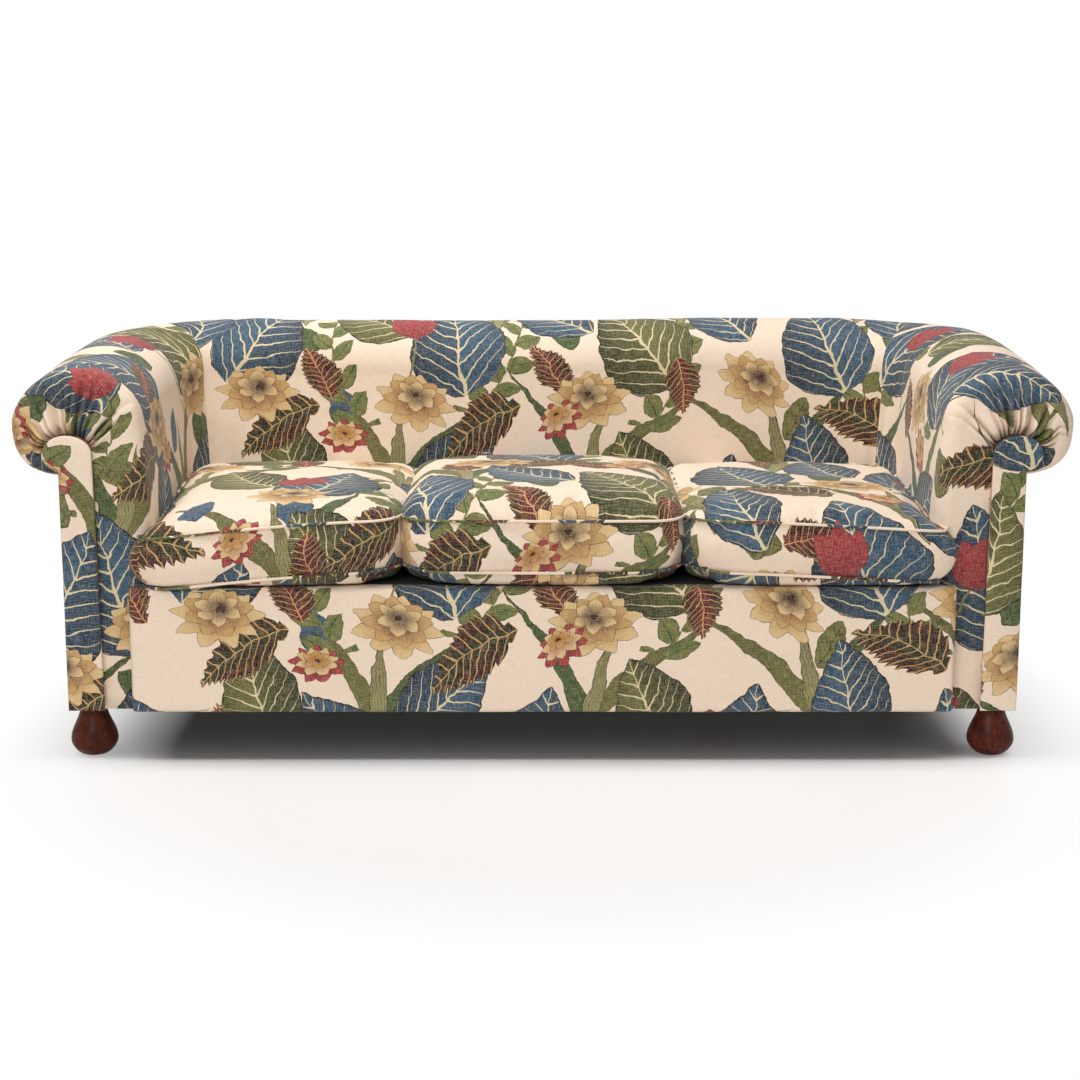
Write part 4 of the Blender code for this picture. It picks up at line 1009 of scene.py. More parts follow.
def scroll_rows(side, sizes):
    """Rows of an arm cover from under its facing, over the pleated scroll front, to its straight run."""
    lengths = distances(hook(Stop(FRONT_RADIUS, side)))
    ring = hook(Stop(0, side), FRONT_RADIUS)
    head_height = FACING_HIGH.z - FACING_HEAD_RISE
    start = next(up for (out, height), up in zip(ring, lengths) if height > head_height)
    shares = [(up - start) / (lengths[-1] - start) for up in lengths]
    front = Stop(0, side)
    quarter = FRONT_RADIUS * math.pi / 2
    rows = []
    for step in range(FAN_STEPS, 0, -1):
        reach = step / FAN_STEPS
        row = []
        for (out, height), share, up in zip(ring, shares, lengths):
            goal_out, goal_height = facing_target(height, share)
            drawn = math.dist((out, height), (goal_out, goal_height))
            fan = fan_share(share)
            dome = sizes.scroll_dome * fan * FULL_DOME * reach**2 * (1 - reach)
            fall = sizes.pleat_depth * fan * pleat_fall(share, reach, sizes)
            fall += (sizes.facing_dip * fan + LEAST_DIP) * smooth((reach - DIP_FROM) / DIP_RUN)
            point = front.place(out + (goal_out - out) * reach, height + (goal_height - height) * reach)
            below_top = point.z < POST_HIGH.z + POST_MARGIN
            before_post = below_top and abs(point.x) < POST_HIGH.x + POST_MARGIN
            point.y += min(fall - dome, FALL_BEFORE_POST if before_post else DEEPEST_FALL)
            run = FRONT_RADIUS - quarter - drawn * reach
            row.append((point, side * (MIDDLE_RUN - run), up))
        rows.append(row)
    for step in range(ROUND_STEPS):
        turn = math.pi / 2 * step / ROUND_STEPS
        depth = FRONT_RADIUS * (1 - math.cos(turn))
        stop = Stop(depth, side)
        section = hook(stop, FRONT_RADIUS * (1 - math.sin(turn)))
        run = FRONT_RADIUS - FRONT_RADIUS * (math.pi / 2 - turn)
        row = []
        for (out, height), share, up in zip(section, shares, lengths):
            fan = fan_share(share) * (1 - step / ROUND_STEPS)
            point = stop.place(out, height)
            point.y += sizes.pleat_depth * fan * pleat_fall(share, 0, sizes)
            row.append((point, side * (MIDDLE_RUN - run), up))
        rows.append(row)
    return rows


def drop_strip(bm, bolt, spots, rows, columns, drop):
    """Carry the front strip of an arm cover down beside its facing to the base."""
    step = drop / STRIP_STEPS
    bm.verts.ensure_lookup_table()
    line = [bm.verts[row * columns] for row in range(rows)]
    for _ in range(STRIP_STEPS):
        edges = [bm.edges.get(pair) for pair in zip(line, line[1:])]
        grown = bmesh.ops.extrude_edge_only(bm, edges=edges)["geom"]
        fresh = [item for item in grown if isinstance(item, bmesh.types.BMVert)]
        above = {}
        for vertex in fresh:
            above[vertex] = min(line, key=lambda old: (old.co - vertex.co).length)
            spots[vertex] = spots[above[vertex]] - Vector((0, step))
        for face in (item for item in grown if isinstance(item, bmesh.types.BMFace)):
            for loop in face.loops:
                loop[bolt].uv = spots[loop.vert]
        bmesh.ops.translate(bm, vec=(0, 0, -step), verts=fresh)
        below = {old: new for new, old in above.items()}
        line = [below[old] for old in line]


def cover_arm(side_name, side, sizes):
    """One arm's cover: inside face, roll and pleated scroll front in one piece of cloth."""
    rows = scroll_rows(side, sizes)
    runs = even(FRONT_RADIUS, STRAIGHT_RUN, ARM_STEPS)
    runs += corner_runs(STRAIGHT_RUN, MITRE_RUN, CORNER_STEPS)
    rows += [cover_row(Stop(run, side), sizes) for run in runs]
    bm, bolt, spots = lay_cloth(rows)
    drop_strip(bm, bolt, spots, STRIP_ROWS, len(rows[0]), TUCK_LEVEL - BODY_BOTTOM)
    bmesh.ops.recalc_face_normals(bm, faces=bm.faces)
    face_away(bm, Vector((side * CREST_X, 0, -FAR)))
    soften(bm, sizes.softness, lambda point: smooth((point.z - BODY_BOTTOM) / SOFT_RISE))
    nodes = (f"{side_name}_inside_arm_cover", f"{side_name}_arm_padding")
    piece = make_piece(f"{side_name}_arm_upholstery", bm, printed_linen, nodes)
    thicken(piece, COVER_CLOTH)


def across_back(runs):
    """Stops from one back corner to the other, from runs that end in the middle."""
    return [Stop(run, 1) for run in runs] + [Stop(run, -1) for run in reversed(runs[:-1])]


def cover_back(sizes):
    """The back's cover, from the mitre in one corner to the mitre in the other."""
    runs = list(reversed(corner_runs(BACK_RUN, MITRE_RUN, CORNER_STEPS)))
    runs += even(BACK_RUN, MIDDLE_RUN, BACK_STEPS // 2)
    bm, _, _ = lay_cloth([cover_row(stop, sizes) for stop in across_back(runs)])
    face_away(bm, Vector((0, CREST_Y, -FAR)))
    soften(bm, sizes.softness)
    nodes = ("inside_back_cover", "back_padding")
    piece = make_piece("back_upholstery", bm, printed_linen, nodes)
    thicken(piece, COVER_CLOTH)


def panel_rows(stops):
    """Rows of an outside panel, from the base to behind the roll."""
    rows = []
    for stop in stops:
        top = stop.crest - PANEL_DROP
        heights = even(BODY_BOTTOM, top, PANEL_STEPS)
        run = stop.side * (stop.run - MIDDLE_RUN)
        rows.append([(stop.place(OUTSIDE + stop.puff, height), run, height) for height in heights])
    return rows


def cover_outside(name, stops, node, sizes):
    """An outside panel, stretched over the frame and tacked to a top rail."""
    bm, _, _ = lay_cloth(panel_rows(stops))
    face_away(bm, Vector((0, 0, TUCK_LEVEL)))
    soften(bm, sizes.softness / FIRMNESS)
    piece = make_piece(name, bm, printed_linen, [node])
    thicken(piece, PANEL_CLOTH)
    wide = distances([stop.place(OUTSIDE, 0) for stop in stops])[-1]


def cover_outsides(sizes):
    """The outside panels: one on each arm, as far as the mitre, and one round the back."""
    arm_runs = even(PANEL_START, STRAIGHT_RUN, PANEL_RUNS)
    arm_runs += even(STRAIGHT_RUN, MITRE_RUN, PANEL_RUNS)[1:]
    for side_name, side in SIDES.items():
        stops = [Stop(run, side) for run in arm_runs]
        panel = f"{side_name}_outside_arm"
        cover_outside(panel, stops, f"{panel}_panel", sizes)
    back_runs = even(MITRE_RUN, BACK_RUN, PANEL_RUNS)[:-1] + even(BACK_RUN, MIDDLE_RUN, PANEL_RUNS)
    cover_outside("outside_back", across_back(back_runs), "outside_back_panel", sizes)


def facing_outline():
    """A facing's outline from the base of its inner edge over its round head to its outer edge."""
    head_height = FACING_HIGH.z - FACING_HEAD_RISE
    head_out = FACING_HEAD_OUT + FRONT_PUFF
    inner = FACING_LOW.x - CREST_X + FRONT_PUFF
    outer = OUTSIDE + FRONT_PUFF
    end = -math.acos((outer - head_out) / FACING_HEAD)
    heights = even(BODY_BOTTOM, head_height, FACING_INNER_STEPS)[:-1]
    outs = even(inner, inner + FACING_NECK, FACING_INNER_STEPS)
    points = list(zip(outs, heights))
    turns = even(math.pi, end, FACING_HEAD_STEPS)
    points += [
        (head_out + FACING_HEAD * math.cos(turn), head_height + FACING_HEAD_RISE * math.sin(turn))
        for turn in turns
    ]
    points += [(outer, height) for height in even(points[-1][1], BODY_BOTTOM, FACING_OUTER_STEPS)[1:]]
    return points


def make_facing(side_name, side, sizes):
    """An arm's facing: a thin padded board with a round head, covered in the same cloth."""
    front = FACING_LOW.y
    edge = sizes.facing_edge
    rear = front + edge + FACING_BACK
    bm = bmesh.new()
    outline = [bm.verts.new((side * (CREST_X + out), rear, height)) for out, height in facing_outline()]
    back = bm.faces.new(outline)
    raised = bmesh.ops.extrude_face_region(bm, geom=[back])["geom"]
    lifted = [item for item in raised if isinstance(item, bmesh.types.BMVert)]
    face = next(item for item in raised if isinstance(item, bmesh.types.BMFace))
    bmesh.ops.translate(bm, vec=(0, front + edge - rear, 0), verts=lifted)
    bmesh.ops.recalc_face_normals(bm, faces=bm.faces)
    undercut = sizes.facing_undercut
    bmesh.ops.inset_region(
        bm, faces=[back], thickness=undercut, depth=FACING_HIGH.y - rear, use_even_offset=True
    )
    turns = even(0, math.pi / 2, EDGE_STEPS)
    for here, there in zip(turns, turns[1:]):
        inward = edge * (math.cos(here) - math.cos(there))
        forward = edge * (math.sin(there) - math.sin(here))
        bmesh.ops.inset_region(bm, faces=[face], thickness=inward, depth=forward, use_even_offset=True)
    for share in CROWN_RINGS:
        swell = sizes.facing_crown * share
        bmesh.ops.inset_region(bm, faces=[face], thickness=CROWN_RING, depth=swell, use_even_offset=True)
    bolt = bm.loops.layers.uv.new("cloth")
    bm.normal_update()
    for item in bm.faces:
        for loop in item.loops:
            deep = loop.vert.co.y - front
            across = loop.vert.co.x + item.normal.x * deep
            up = loop.vert.co.z + item.normal.z * deep
            loop[bolt].uv = (across + FACING_BOLT[0], up + FACING_BOLT[1])
    soften(bm, sizes.softness / FIRMNESS)
    nodes = [f"{side_name}_arm_facing"]
    piece = make_piece(f"{side_name}_facing", bm, printed_linen, nodes)
    piece.data.set_sharp_from_angle(angle=SHARP_EDGE)


def rounded_steps(low, high, edge, flat_steps):
    """Places across a padded panel with how far its edge falls back there: walls, rounding and face."""
    turns = even(0, math.pi / 2, EDGE_STEPS)
    places = [(low, None)]
    places += [(low + edge * (1 - math.sin(turn)), 1 - math.cos(turn)) for turn in reversed(turns)]
    places += [(place, 0.0) for place in even(low + edge, high - edge, flat_steps)[1:-1]]
    places += [(high - edge * (1 - math.sin(turn)), 1 - math.cos(turn)) for turn in turns]
    places.append((high, None))
    return places


def cover_border(sizes):
    """The front border: a padded panel under the seat's edge, with rounded edges and a slight swell."""
    edge = sizes.border_edge
    front = BORDER_LOW.y
    deep = BORDER_HIGH.y - front
    across = rounded_steps(BORDER_LOW.x, BORDER_HIGH.x, edge, BORDER_LONG_STEPS)
    upward = rounded_steps(BODY_BOTTOM, TUCK_LEVEL, edge, BORDER_TALL_STEPS)
    middle = (BODY_BOTTOM + TUCK_LEVEL) / 2
    half = (TUCK_LEVEL - BODY_BOTTOM) / 2
    rows = []
    for z, fall_up in upward:
        row = []
        for x, fall_side in across:
            back = fall_up is None or fall_side is None
            fall = deep if back else min(edge * (fall_up + fall_side), deep)
            end = (BORDER_HIGH.x - abs(x)) / BORDER_FADE
            swell = sizes.border_crown * smooth(end) * (1 - ((z - middle) / half) ** 2)
            wrap_u = math.copysign(fall, x) if fall_side is None or fall_side > 0 else 0
            wrap_v = math.copysign(fall, z - middle) if fall_up is None or fall_up > 0 else 0
            point = Vector((x, front + fall + sizes.border_crown - swell, z))
            row.append((point, x + wrap_u, z + wrap_v))
        rows.append(row)
    bm, _, _ = lay_cloth(rows)
    face_away(bm, Vector((0, FAR, middle)))
    soften(bm, sizes.softness * BORDER_SOFTNESS)
    nodes = ("front_border_cover", "front_border_padding")
    piece = make_piece("front_border", bm, printed_linen, nodes)
    subdivide(piece)


def arm_face(y):
    """How far from the middle an arm's inside face stands at a depth, at seat level."""
    depth = min(max(y - ARM_FRONT_Y, 0), FRONT_RADIUS)
    drawn = FRONT_RADIUS - math.sqrt(FRONT_RADIUS**2 - (FRONT_RADIUS - depth) ** 2)
    if y < ARM_FRONT_Y:
        return HALF_WIDTH
    return CREST_X - ROLL_WIDTH / 2 - ARM_LEAN + drawn


def round_corner(x, y, half_width, half_depth, radius):
    """Move a point on a rectangle's edge onto the same edge with round corners."""
    centre = Vector((half_width - radius, half_depth - radius))
    beyond = Vector((abs(x), abs(y))) - centre
    if beyond.x > 0 and beyond.y > 0:
        on_arc = centre + beyond.normalized() * radius
        return math.copysign(on_arc.x, x), math.copysign(on_arc.y, y)
    return x, y


def cushion_point(low, high, form, sizes, across, along, level):
    """A point of a boxed cushion.

    Across and along run from -1 to 1 over it, and level from 0 at its lower seam to 1 at its upper one.
    """
    half_width = (high.x - low.x) / 2
    half_depth = (high.y - low.y) / 2
    reach = max(abs(across), abs(along), TINY)
    on_edge = reach > ON_EDGE
    edge_x = across / reach
    edge_y = along / reach
    outer = form["outer"]
    corner = sizes.cushion_corner + sizes.cushion_tuck * (1 - level) ** 2
    if along < 0 and across * outer > 0:
        corner *= TIGHT_CORNER
    x, y = round_corner(edge_x * half_width, edge_y * half_depth, half_width, half_depth, corner)
    swell = math.sin(math.pi * level) - SEAM_DRAW * (level in (0, 1)) if on_edge else 0
    if abs(edge_x) > NEAR_EDGE:
        x += math.copysign(SIDE_SWELL * swell - SIDE_DRAW * (1 - edge_y**2), x)
    if abs(edge_y) > NEAR_EDGE:
        end_swell = FRONT_SWELL if edge_y < 0 else SIDE_SWELL
        y += math.copysign(end_swell * swell - END_DRAW * (1 - edge_x**2), y)
    x = x * reach + (low.x + high.x) / 2
    y = y * reach + (low.y + high.y) / 2
    if across * outer > OUTER_HALF:
        spread = smooth((SPREAD_FROM - y) / SPREAD_RUN)
        spread *= smooth((across * outer - OUTER_HALF) / (1 - OUTER_HALF))
        x += outer * (SPREAD + SPREAD_SWELL * swell) * spread
        x = math.copysign(min(abs(x), arm_face(y) - ARM_CLEARANCE), x)
    dome = math.sqrt(max((1 - abs(across) ** DOME_POWER) * (1 - abs(along) ** DOME_POWER), 0))
    outward = (1 + across * outer) / 2 if outer else 0
    droop = form["droop"] * outward**DROOP_ACROSS * ((1 - along) / 2) ** DROOP_ALONG
    lower = TUCK_LEVEL + max(sizes.cushion_belly - droop, LEAST_BELLY)
    upper = TUCK_LEVEL + sizes.cushion_belly + sizes.cushion_border - droop
    z = lower + (upper - lower) * level
    if level > 0.5 and not on_edge:
        z += (sizes.cushion_crown + form["crown"]) * dome**CROWN_POWER * (1 - form["slump"] * along)
    if level < 0.5 and not on_edge:
        z -= (lower - TUCK_LEVEL - PLATFORM_GAP) * min(BELLY_FULLNESS * math.sqrt(dome), 1)
    return Vector((x, y, z))


def cushion_cover(name, form, sizes):
    """A cushion's boxed cover as a bmesh, with its seams in order round it."""
    low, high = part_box(f"{name}_seat_cushion")
    bm = bmesh.new()
    bmesh.ops.create_cube(bm, size=2)
    # Only the edges that still run the cube's whole length are cut along each axis
    for axis, count in enumerate(CUSHION_CUTS):
        edges = [edge for edge in bm.edges if abs((edge.verts[0].co - edge.verts[1].co)[axis]) > 1]
        bmesh.ops.subdivide_edges(bm, edges=edges, cuts=count, use_grid_fill=True)
    bolt = bm.loops.layers.uv.new("cloth")
    wide = (high.x - low.x) / 2
    deep = (high.y - low.y) / 2
    tall = sizes.cushion_border / 2
    start = Vector(form["bolt"])
    bm.normal_update()
    for face in bm.faces:
        normal = face.normal
        for loop in face.loops:
            x, y, z = loop.vert.co
            if abs(normal.z) > 0.5:
                spot = Vector((x * wide, y * deep))
            elif abs(normal.y) > 0.5:
                spot = Vector((-normal.y * x * wide, -deep - tall + z * tall))
            else:
                round_side = normal.x * (wide + deep) + normal.x * y * deep
                spot = Vector((round_side, -deep - tall + z * tall))
            loop[bolt].uv = start + spot
    shape = {vertex: vertex.co.copy() for vertex in bm.verts}
    for vertex, (across, along, height) in shape.items():
        vertex.co = cushion_point(low, high, form, sizes, across, along, (height + 1) / 2)
    rim = [vertex for vertex, at in shape.items() if max(abs(at.x), abs(at.y)) > ON_EDGE]
    seams = []
    for end in (1, -1):
        ring = [vertex for vertex in rim if abs(shape[vertex].z - end) < MM]
        ring.sort(key=lambda vertex: math.atan2(shape[vertex].y, shape[vertex].x))
        seams.append(ring)
    bm.verts.index_update()
    return bm, [[vertex.index for vertex in ring] for ring in seams]


def settle(piece, rings, sizes):
    """Let the filling press a cushion's cover out between its seams, by a short cloth simulation."""
    scene = bpy.context.scene
    start = [vertex.co.copy() for vertex in piece.data.vertices]
    base = [index for index, place in enumerate(start) if place.z < TUCK_LEVEL + HELD_BASE]
    held = piece.vertex_groups.new(name="held")
    held.add([index for ring in rings for index in ring] + base, 1.0, "REPLACE")
    cloth = piece.modifiers.new("filling", "CLOTH")
    cloth.settings.vertex_group_mass = held.name
    cloth.settings.use_pressure = True
    cloth.settings.uniform_pressure_force = FILLING_PRESSURE
    cloth.settings.shrink_min = -SPARE_CLOTH
    cloth.settings.effector_weights.gravity = 0
    for step in range(1, SETTLE_FRAMES + 1):
        scene.frame_set(step)
    shaped = piece.evaluated_get(bpy.context.evaluated_depsgraph_get())
    moves = [vertex.co - place for vertex, place in zip(shaped.data.vertices, start)]
    piece.modifiers.remove(cloth)
    piece.vertex_groups.remove(held)
    scene.frame_set(1)
    for vertex, place, move in zip(piece.data.vertices, start, moves):
        vertex.co = place + move * min(1, sizes.cushion_give / max(move.length, TINY))


def make_cushion(name, form, sizes):
    """A loose seat cushion: a boxed cover over its filling, with piped seams."""
    bm, rings = cushion_cover(name, form, sizes)
    soften(bm, sizes.softness)
    node = f"{name}_seat_cushion"
    piece = make_piece(f"{node}_cover", bm, printed_linen, [node], f"{name}_cushion")
    settle(piece, rings, sizes)
    lines = [[piece.data.vertices[index].co.copy() for index in ring] for ring in rings]
    subdivide(piece)
    make_piping(name, lines, sizes)


def make_piping(name, lines, sizes):
    """The piped edges of a cushion: a cord in each seam, covered in strips cut on the bias."""
    curve = bpy.data.curves.new(f"{name}_piping_line", "CURVE")
    curve.dimensions = "3D"
    curve.bevel_depth = sizes.piping / 2
    curve.bevel_resolution = PIPING_ROUNDNESS
    for line in lines:
        spline = curve.splines.new("POLY")
        spline.points.add(len(line) - 1)
        middle = sum(line, Vector()) / len(line)
        lift = Vector((0, 0, PIPING_PROUD if line is lines[0] else -PIPING_PROUD))
        for point, place in zip(spline.points, line):
            away = (place - middle).to_2d().normalized().to_3d() * PIPING_PROUD
            point.co = (*(place + (away + lift) * sizes.piping), 1)
        spline.use_cyclic_u = True
    guide = bpy.data.objects.new(f"{name}_piping_guide", curve)
    mesh = bpy.data.meshes.new_from_object(guide)
    bm = bmesh.new()
    bm.from_mesh(mesh)
    bpy.data.objects.remove(guide)
    bpy.data.curves.remove(curve)
    bpy.data.meshes.remove(mesh)
    stations = sum(len(line) for line in lines)
    around = len(bm.verts) // stations
    bolt = bm.loops.layers.uv.new("cloth")
    bm.verts.index_update()
    for face in bm.faces:
        first = min(loop.vert.index // around for loop in face.loops)
        for loop in face.loops:
            along = PIPING_STEP * min(loop.vert.index // around, first + 1)
            across = MM * (loop.vert.index % around)
            loop[bolt].uv = along * Vector((1, 1)) + across * Vector((1, -1))
    make_piece(f"{name}_seat_cushion_piping", bm, printed_linen, [], f"{name}_cushion")


def foot_radius(share, belly):
    """A pear foot's radius up its height: a round belly low down that narrows to a neck."""
    if share < FOOT_BELLY:
        below = 1 - share / FOOT_BELLY
        return FOOT_BASE + (belly - FOOT_BASE) * (1 - below**FOOT_UNDERCUT) ** FOOT_FULLNESS
    climb = (share - FOOT_BELLY) / (1 - FOOT_BELLY)
    return FOOT_NECK + (belly - FOOT_NECK) * (1 + math.cos(math.pi * climb)) / 2


def turn_foot(name):
    """A turned foot, spun from its profile."""
    low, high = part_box(name)
    belly = (high.x - low.x) / 2
    middle = Vector(((low.x + high.x) / 2, (low.y + high.y) / 2, 0))
    shares = [0.5 * (1 - math.cos(turn)) for turn in even(0, math.pi, FOOT_STEPS)]
    profile = [(0, 0), (FOOT_FLAT, 0), FOOT_ARRIS]
    profile += [(foot_radius(share, belly), share * BODY_BOTTOM) for share in shares[1:]]
    profile.append((0, BODY_BOTTOM))
    bm = bmesh.new()
    line = [bm.verts.new((radius, 0, height)) for radius, height in profile]
    edges = [bm.edges.new(pair) for pair in zip(line, line[1:])]
    bmesh.ops.spin(
        bm, geom=line + edges, axis=(0, 0, 1), cent=(0, 0, 0), angle=math.tau, steps=FOOT_SIDES,
        use_merge=True, use_duplicate=False,
    )
    bmesh.ops.remove_doubles(bm, verts=bm.verts, dist=FOOT_WELD)
    bmesh.ops.recalc_face_normals(bm, faces=bm.faces)
    bmesh.ops.translate(bm, vec=middle, verts=bm.verts)
    piece = make_piece(f"{name}_turned", bm, stained_wood, [name])
    piece.data.set_sharp_from_angle(angle=SHARP_EDGE)


def seat_plan(out, front):
    """Half-widths of the seat at depths from front to back, inside the frame's round corners."""
    radius = CORNER_RADIUS + out
    back = CREST_Y + out
    depths = even(front, CORNER_Y, SEAT_STEPS)[:-1]
    turns = even(0, math.pi / 2, SEAT_STEPS)
    depths += [CORNER_Y + (back - CORNER_Y) * math.sin(turn) for turn in turns]
    plan = []
    for y in depths:
        inner = math.sqrt(max(radius**2 - max(y - CORNER_Y, 0) ** 2, 0))
        plan.append((y, CORNER_X + inner))
    return plan


def lay_seat_sheet(name, node, out, level, sag, thickness, make):
    """A sheet stretched across the seat frame, sagging a little in its middle."""
    low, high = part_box(node)
    rows = []
    for y, half in seat_plan(out, low.y):
        row = []
        depth = 2 * (y - low.y) / (high.y - low.y) - 1
        for share in even(-1, 1, SEAT_COLUMNS):
            dip = sag * (1 - share**2) * (1 - depth**2)
            row.append((Vector((share * half, y, level - dip)), share * half, y))
        rows.append(row)
    bm, _, _ = lay_cloth(rows)
    face_away(bm, Vector((0, 0, level - FAR)))
    piece = make_piece(name, bm, make, [node])
    thicken(piece, thickness)
    return piece


def lay_seat():
    """The platform with its stuffing, the spring hessian and the dust cover."""
    frame_in = PLATFORM_HIGH.y - CREST_Y
    stuffing_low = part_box("seat_stuffing")[0].z
    platform = lay_seat_sheet(
        "seat_platform", "platform_cover", frame_in, TUCK_LEVEL - PLATFORM_SINK, PLATFORM_SAG,
        TUCK_LEVEL - stuffing_low - STUFFING_GAP, lining_cloth,
    )
    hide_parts("platform_cover", "seat_stuffing")
    for name, node, sag, make, slot in (
        ("spring_hessian_sheet", "spring_hessian", HESSIAN_SAG, jute, "jute"),
        ("dust_cover_sheet", "dust_cover", DUST_COVER_SAG, lining_cloth, "lining_cloth"),
    ):
        low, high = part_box(node)
        sheet = lay_seat_sheet(name, node, high.y - CREST_Y, high.z, sag, high.z - low.z, make)


def seen_directly(t):
    """1 for what the eye sees, also in a reflection or through glass, and 0 for light on its way."""
    rays = add(t, "LightPath", out=("Is Camera Ray", "Is Glossy Ray", "Is Transmission Ray"))
    direct = add(t, "Math MAXIMUM", rays[0], rays[1])
    return add(t, "Math MAXIMUM", direct, rays[2])


def floor_paint():
    """Pale satin floor paint that keeps the sofa's shadow and runs out into white."""
    material, t, shader = new_material(
        "painted studio floor", 0.5, Base_Color=finish_colour("floor"), Specular_IOR_Level=0.15
    )
    place = add(t, "TexCoord", out="Object")
    x, y = add(t, "SeparateXYZ", place, out=(0, 1))
    wide = add(t, "Math MULTIPLY_ADD", x, POOL_ACROSS, POOL_SHIFT)
    before = add(t, "Math ADD", y, POOL_FRONT)
    behind = add(t, "Math MULTIPLY", before, POOL_BEHIND)
    deep = add(t, "Math MINIMUM", before, behind)
    away = add(t, "VectorMath LENGTH", add(t, "CombineXYZ", wide, deep, 0), out=1)
    blend = add(t, "MapRange", away, POOL_WHOLE, POOL_GONE, 0.0, 1.0)
    mask = add(t, "Math MULTIPLY", blend, seen_directly(t))
    white = add(t, "Emission", finish_colour("surroundings"), 1.0)
    mix = add(t, "MixShader", mask, shader.outputs[0], white)
    t.links.new(mix, t.nodes["Material Output"].inputs[0])
    return material


def set_floor(scene):
    """A plain floor under the sofa."""
    mesh = bpy.data.meshes.new("studio_floor")
    bm = bmesh.new()
    bmesh.ops.create_grid(bm, x_segments=1, y_segments=1, size=FLOOR_SIZE)
    bm.to_mesh(mesh)
    bm.free()
    floor = bpy.data.objects.new("studio_floor", mesh)
    scene.collection.objects.link(floor)
    mesh.materials.append(fetch(floor_paint))
    return floor


def set_light(scene, name, place, aim, size, power, lit):
    """A soft oblong lamp at a place, turned to a point, that lights what one collection says."""
    lamp = bpy.data.lights.new(name, "AREA")
    lamp.shape = "RECTANGLE"
    lamp.size, lamp.size_y = size
    lamp.energy = power
    holder = bpy.data.objects.new(name, lamp)
    holder.location = place
    holder.rotation_euler = (Vector(aim) - Vector(place)).to_track_quat("-Z", "Y").to_euler()
    holder.light_linking.receiver_collection = lit
    scene.collection.objects.link(holder)


def set_lights(scene, floor):
    """A large soft lamp overhead and a fill from the front, both flagged off the floor.

    The floor has a lamp of its own, a long strip above the sofa's front, and so one clean shadow.
    """
    sofa_alone = bpy.data.collections.new("lit_sofa")
    sofa_alone.objects.link(floor)
    sofa_alone.collection_objects[0].light_linking.link_state = "EXCLUDE"
    floor_alone = bpy.data.collections.new("lit_floor")
    floor_alone.objects.link(floor)
    for name, lamp in LAMPS.items():
        set_light(scene, name, lit=floor_alone if name == "floor_lamp" else sofa_alone, **lamp)


def set_surroundings(scene):
    """White to the eye and in reflections, and a low even light on the sofa."""
    world = bpy.data.worlds.new("studio_surroundings")
    world.use_nodes = True
    scene.world = world
    t = world.node_tree
    background = t.nodes["Background"]
    strength = add(t, "MapRange", seen_directly(t), 0.0, 1.0, EVEN_LIGHT, 1.0)
    background.inputs["Color"].default_value = finish_colour("surroundings")
    t.links.new(strength, background.inputs["Strength"])


def set_camera(scene):
    """A long lens above the seat, looking a little down."""
    camera = bpy.data.cameras.new("camera")
    camera.lens = CAMERA_LENS
    camera.sensor_width = CAMERA_SENSOR
    camera.shift_x = PHOTO_SHIFT_PX / PHOTO_WIDTH_PX
    holder = bpy.data.objects.new("camera", camera)
    holder.location = CAMERA_PLACE
    holder.rotation_euler = (math.radians(90 - CAMERA_TILT), 0, 0)
    scene.collection.objects.link(holder)
    scene.camera = holder


class SOFA_OT_cover_arms(bpy.types.Operator):
    """Cover both arms, from the tuck at the seat over the roll to the pleated scroll fronts"""

    bl_idname = "sofa.cover_arms"
    bl_label = "Cover Arms"

    def execute(self, context):
        for side_name, side in SIDES.items():
            cover_arm(side_name, side, context.scene.sofa_sizes)
        return {"FINISHED"}


class SOFA_OT_cover_back(bpy.types.Operator):
    """Cover the back between the two corner mitres"""

    bl_idname = "sofa.cover_back"
    bl_label = "Cover Back"

    def execute(self, context):
        cover_back(context.scene.sofa_sizes)
        return {"FINISHED"}


class SOFA_OT_cover_outside(bpy.types.Operator):
    """Stretch the outside panels over both arms and the back"""

    bl_idname = "sofa.cover_outside"
    bl_label = "Cover Outside"

    def execute(self, context):
        cover_outsides(context.scene.sofa_sizes)
        return {"FINISHED"}


class SOFA_OT_make_facings(bpy.types.Operator):
    """Make the padded facings on both arm fronts"""

    bl_idname = "sofa.make_facings"
    bl_label = "Make Facings"

    def execute(self, context):
        for side_name, side in SIDES.items():
            make_facing(side_name, side, context.scene.sofa_sizes)
        return {"FINISHED"}


class SOFA_OT_cover_border(bpy.types.Operator):
    """Cover the front border under the seat cushions"""

    bl_idname = "sofa.cover_border"
    bl_label = "Cover Border"

    def execute(self, context):
        cover_border(context.scene.sofa_sizes)
        return {"FINISHED"}


class SOFA_OT_make_cushions(bpy.types.Operator):
    """Make the three loose seat cushions with their piping"""

    bl_idname = "sofa.make_cushions"
    bl_label = "Make Cushions"

    def execute(self, context):
        for name, form in CUSHIONS.items():
            make_cushion(name, form, context.scene.sofa_sizes)
        return {"FINISHED"}


class SOFA_OT_turn_feet(bpy.types.Operator):
    """Turn the four feet"""

    bl_idname = "sofa.turn_feet"
    bl_label = "Turn Feet"

    def execute(self, context):
        for end in ("front", "rear"):
            for side_name in SIDES:
                turn_foot(f"{end}_{side_name}_foot")
        return {"FINISHED"}


class SOFA_OT_lay_seat(bpy.types.Operator):
    """Lay the platform over its stuffing, the hessian over the springs and the dust cover underneath"""

    bl_idname = "sofa.lay_seat"
    bl_label = "Lay Seat"

    def execute(self, context):
        lay_seat()
        return {"FINISHED"}


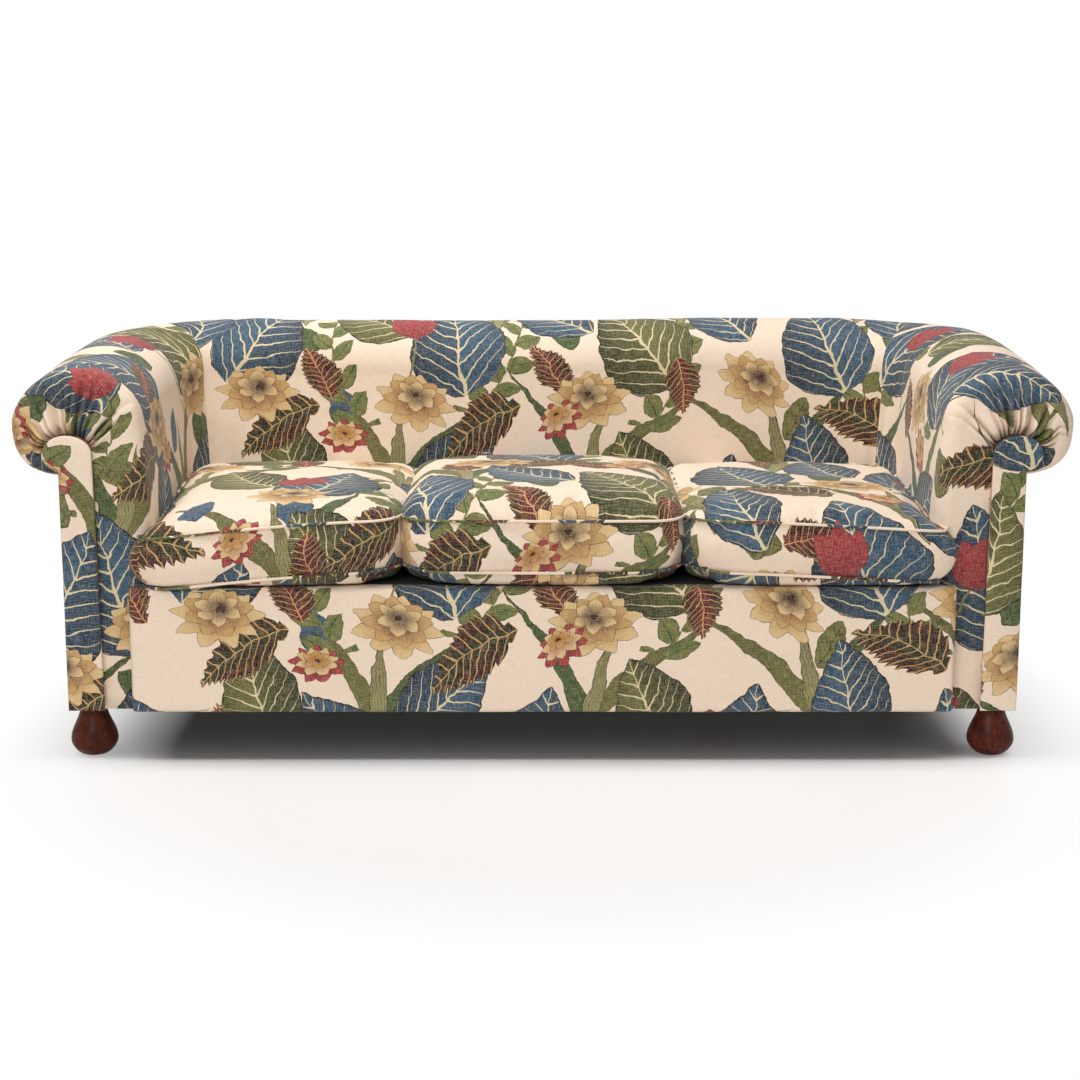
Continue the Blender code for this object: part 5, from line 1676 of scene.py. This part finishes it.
class SOFA_OT_finish_frame(bpy.types.Operator):
    """Give the hidden timber, springs and webbing their materials"""

    bl_idname = "sofa.finish_frame"
    bl_label = "Finish Frame"

    def execute(self, context):
        makers = {"frame_timber": beech, "spring_steel": spring_wire, "jute": jute}
        for entry in frame["record"]["subparts"]:
            make = makers.get(entry["material_slot"])
            if make:
                mesh = frame["nodes"][entry["node"]].data
                mesh.materials.clear()
                mesh.materials.append(fetch(make))
        return {"FINISHED"}


class SOFA_OT_set_stage(bpy.types.Operator):
    """Set the floor, the lights, the white surroundings and the camera"""

    bl_idname = "sofa.set_stage"
    bl_label = "Set Stage"

    def execute(self, context):
        set_lights(context.scene, set_floor(context.scene))
        set_surroundings(context.scene)
        set_camera(context.scene)
        context.scene.view_settings.view_transform = "Standard"
        return {"FINISHED"}


class SOFA_PT_sidebar(bpy.types.Panel):
    """The sofa's sizes, colours and steps in the 3D view's sidebar"""

    bl_label = "Roll-Arm Sofa"
    bl_space_type = "VIEW_3D"
    bl_region_type = "UI"
    bl_category = "Sofa"

    def draw(self, context):
        for group in (context.scene.sofa_sizes, context.scene.sofa_inks, context.scene.sofa_finishes):
            box = self.layout.box()
            for name in group.bl_rna.properties.keys():
                if name not in ("rna_type", "name"):
                    box.prop(group, name)
        for operator in OPERATORS:
            self.layout.operator(operator.bl_idname)


OPERATORS = (
    SOFA_OT_set_stage,
    SOFA_OT_cover_arms,
    SOFA_OT_cover_back,
    SOFA_OT_cover_outside,
    SOFA_OT_make_facings,
    SOFA_OT_cover_border,
    SOFA_OT_make_cushions,
    SOFA_OT_turn_feet,
    SOFA_OT_lay_seat,
    SOFA_OT_finish_frame,
)
GROUPS = {"sofa_sizes": SofaSizes, "sofa_inks": SofaInks, "sofa_finishes": SofaFinishes}


def register():
    for group in GROUPS.values():
        bpy.utils.register_class(group)
    for name, group in GROUPS.items():
        setattr(bpy.types.Scene, name, bpy.props.PointerProperty(type=group))
    for item in (*OPERATORS, SOFA_PT_sidebar):
        bpy.utils.register_class(item)


def unregister():
    for item in (SOFA_PT_sidebar, *reversed(OPERATORS)):
        bpy.utils.unregister_class(item)
    for name in GROUPS:
        delattr(bpy.types.Scene, name)
    for group in GROUPS.values():
        bpy.utils.unregister_class(group)


def main():
    """Register the classes and build the sofa step by step."""
    register()
    bpy.ops.sofa.set_stage()
    bpy.ops.sofa.cover_arms()
    bpy.ops.sofa.cover_back()
    bpy.ops.sofa.cover_outside()
    bpy.ops.sofa.make_facings()
    bpy.ops.sofa.cover_border()
    bpy.ops.sofa.make_cushions()
    bpy.ops.sofa.turn_feet()
    bpy.ops.sofa.lay_seat()
    bpy.ops.sofa.finish_frame()


if __name__ == "__main__":
    main()
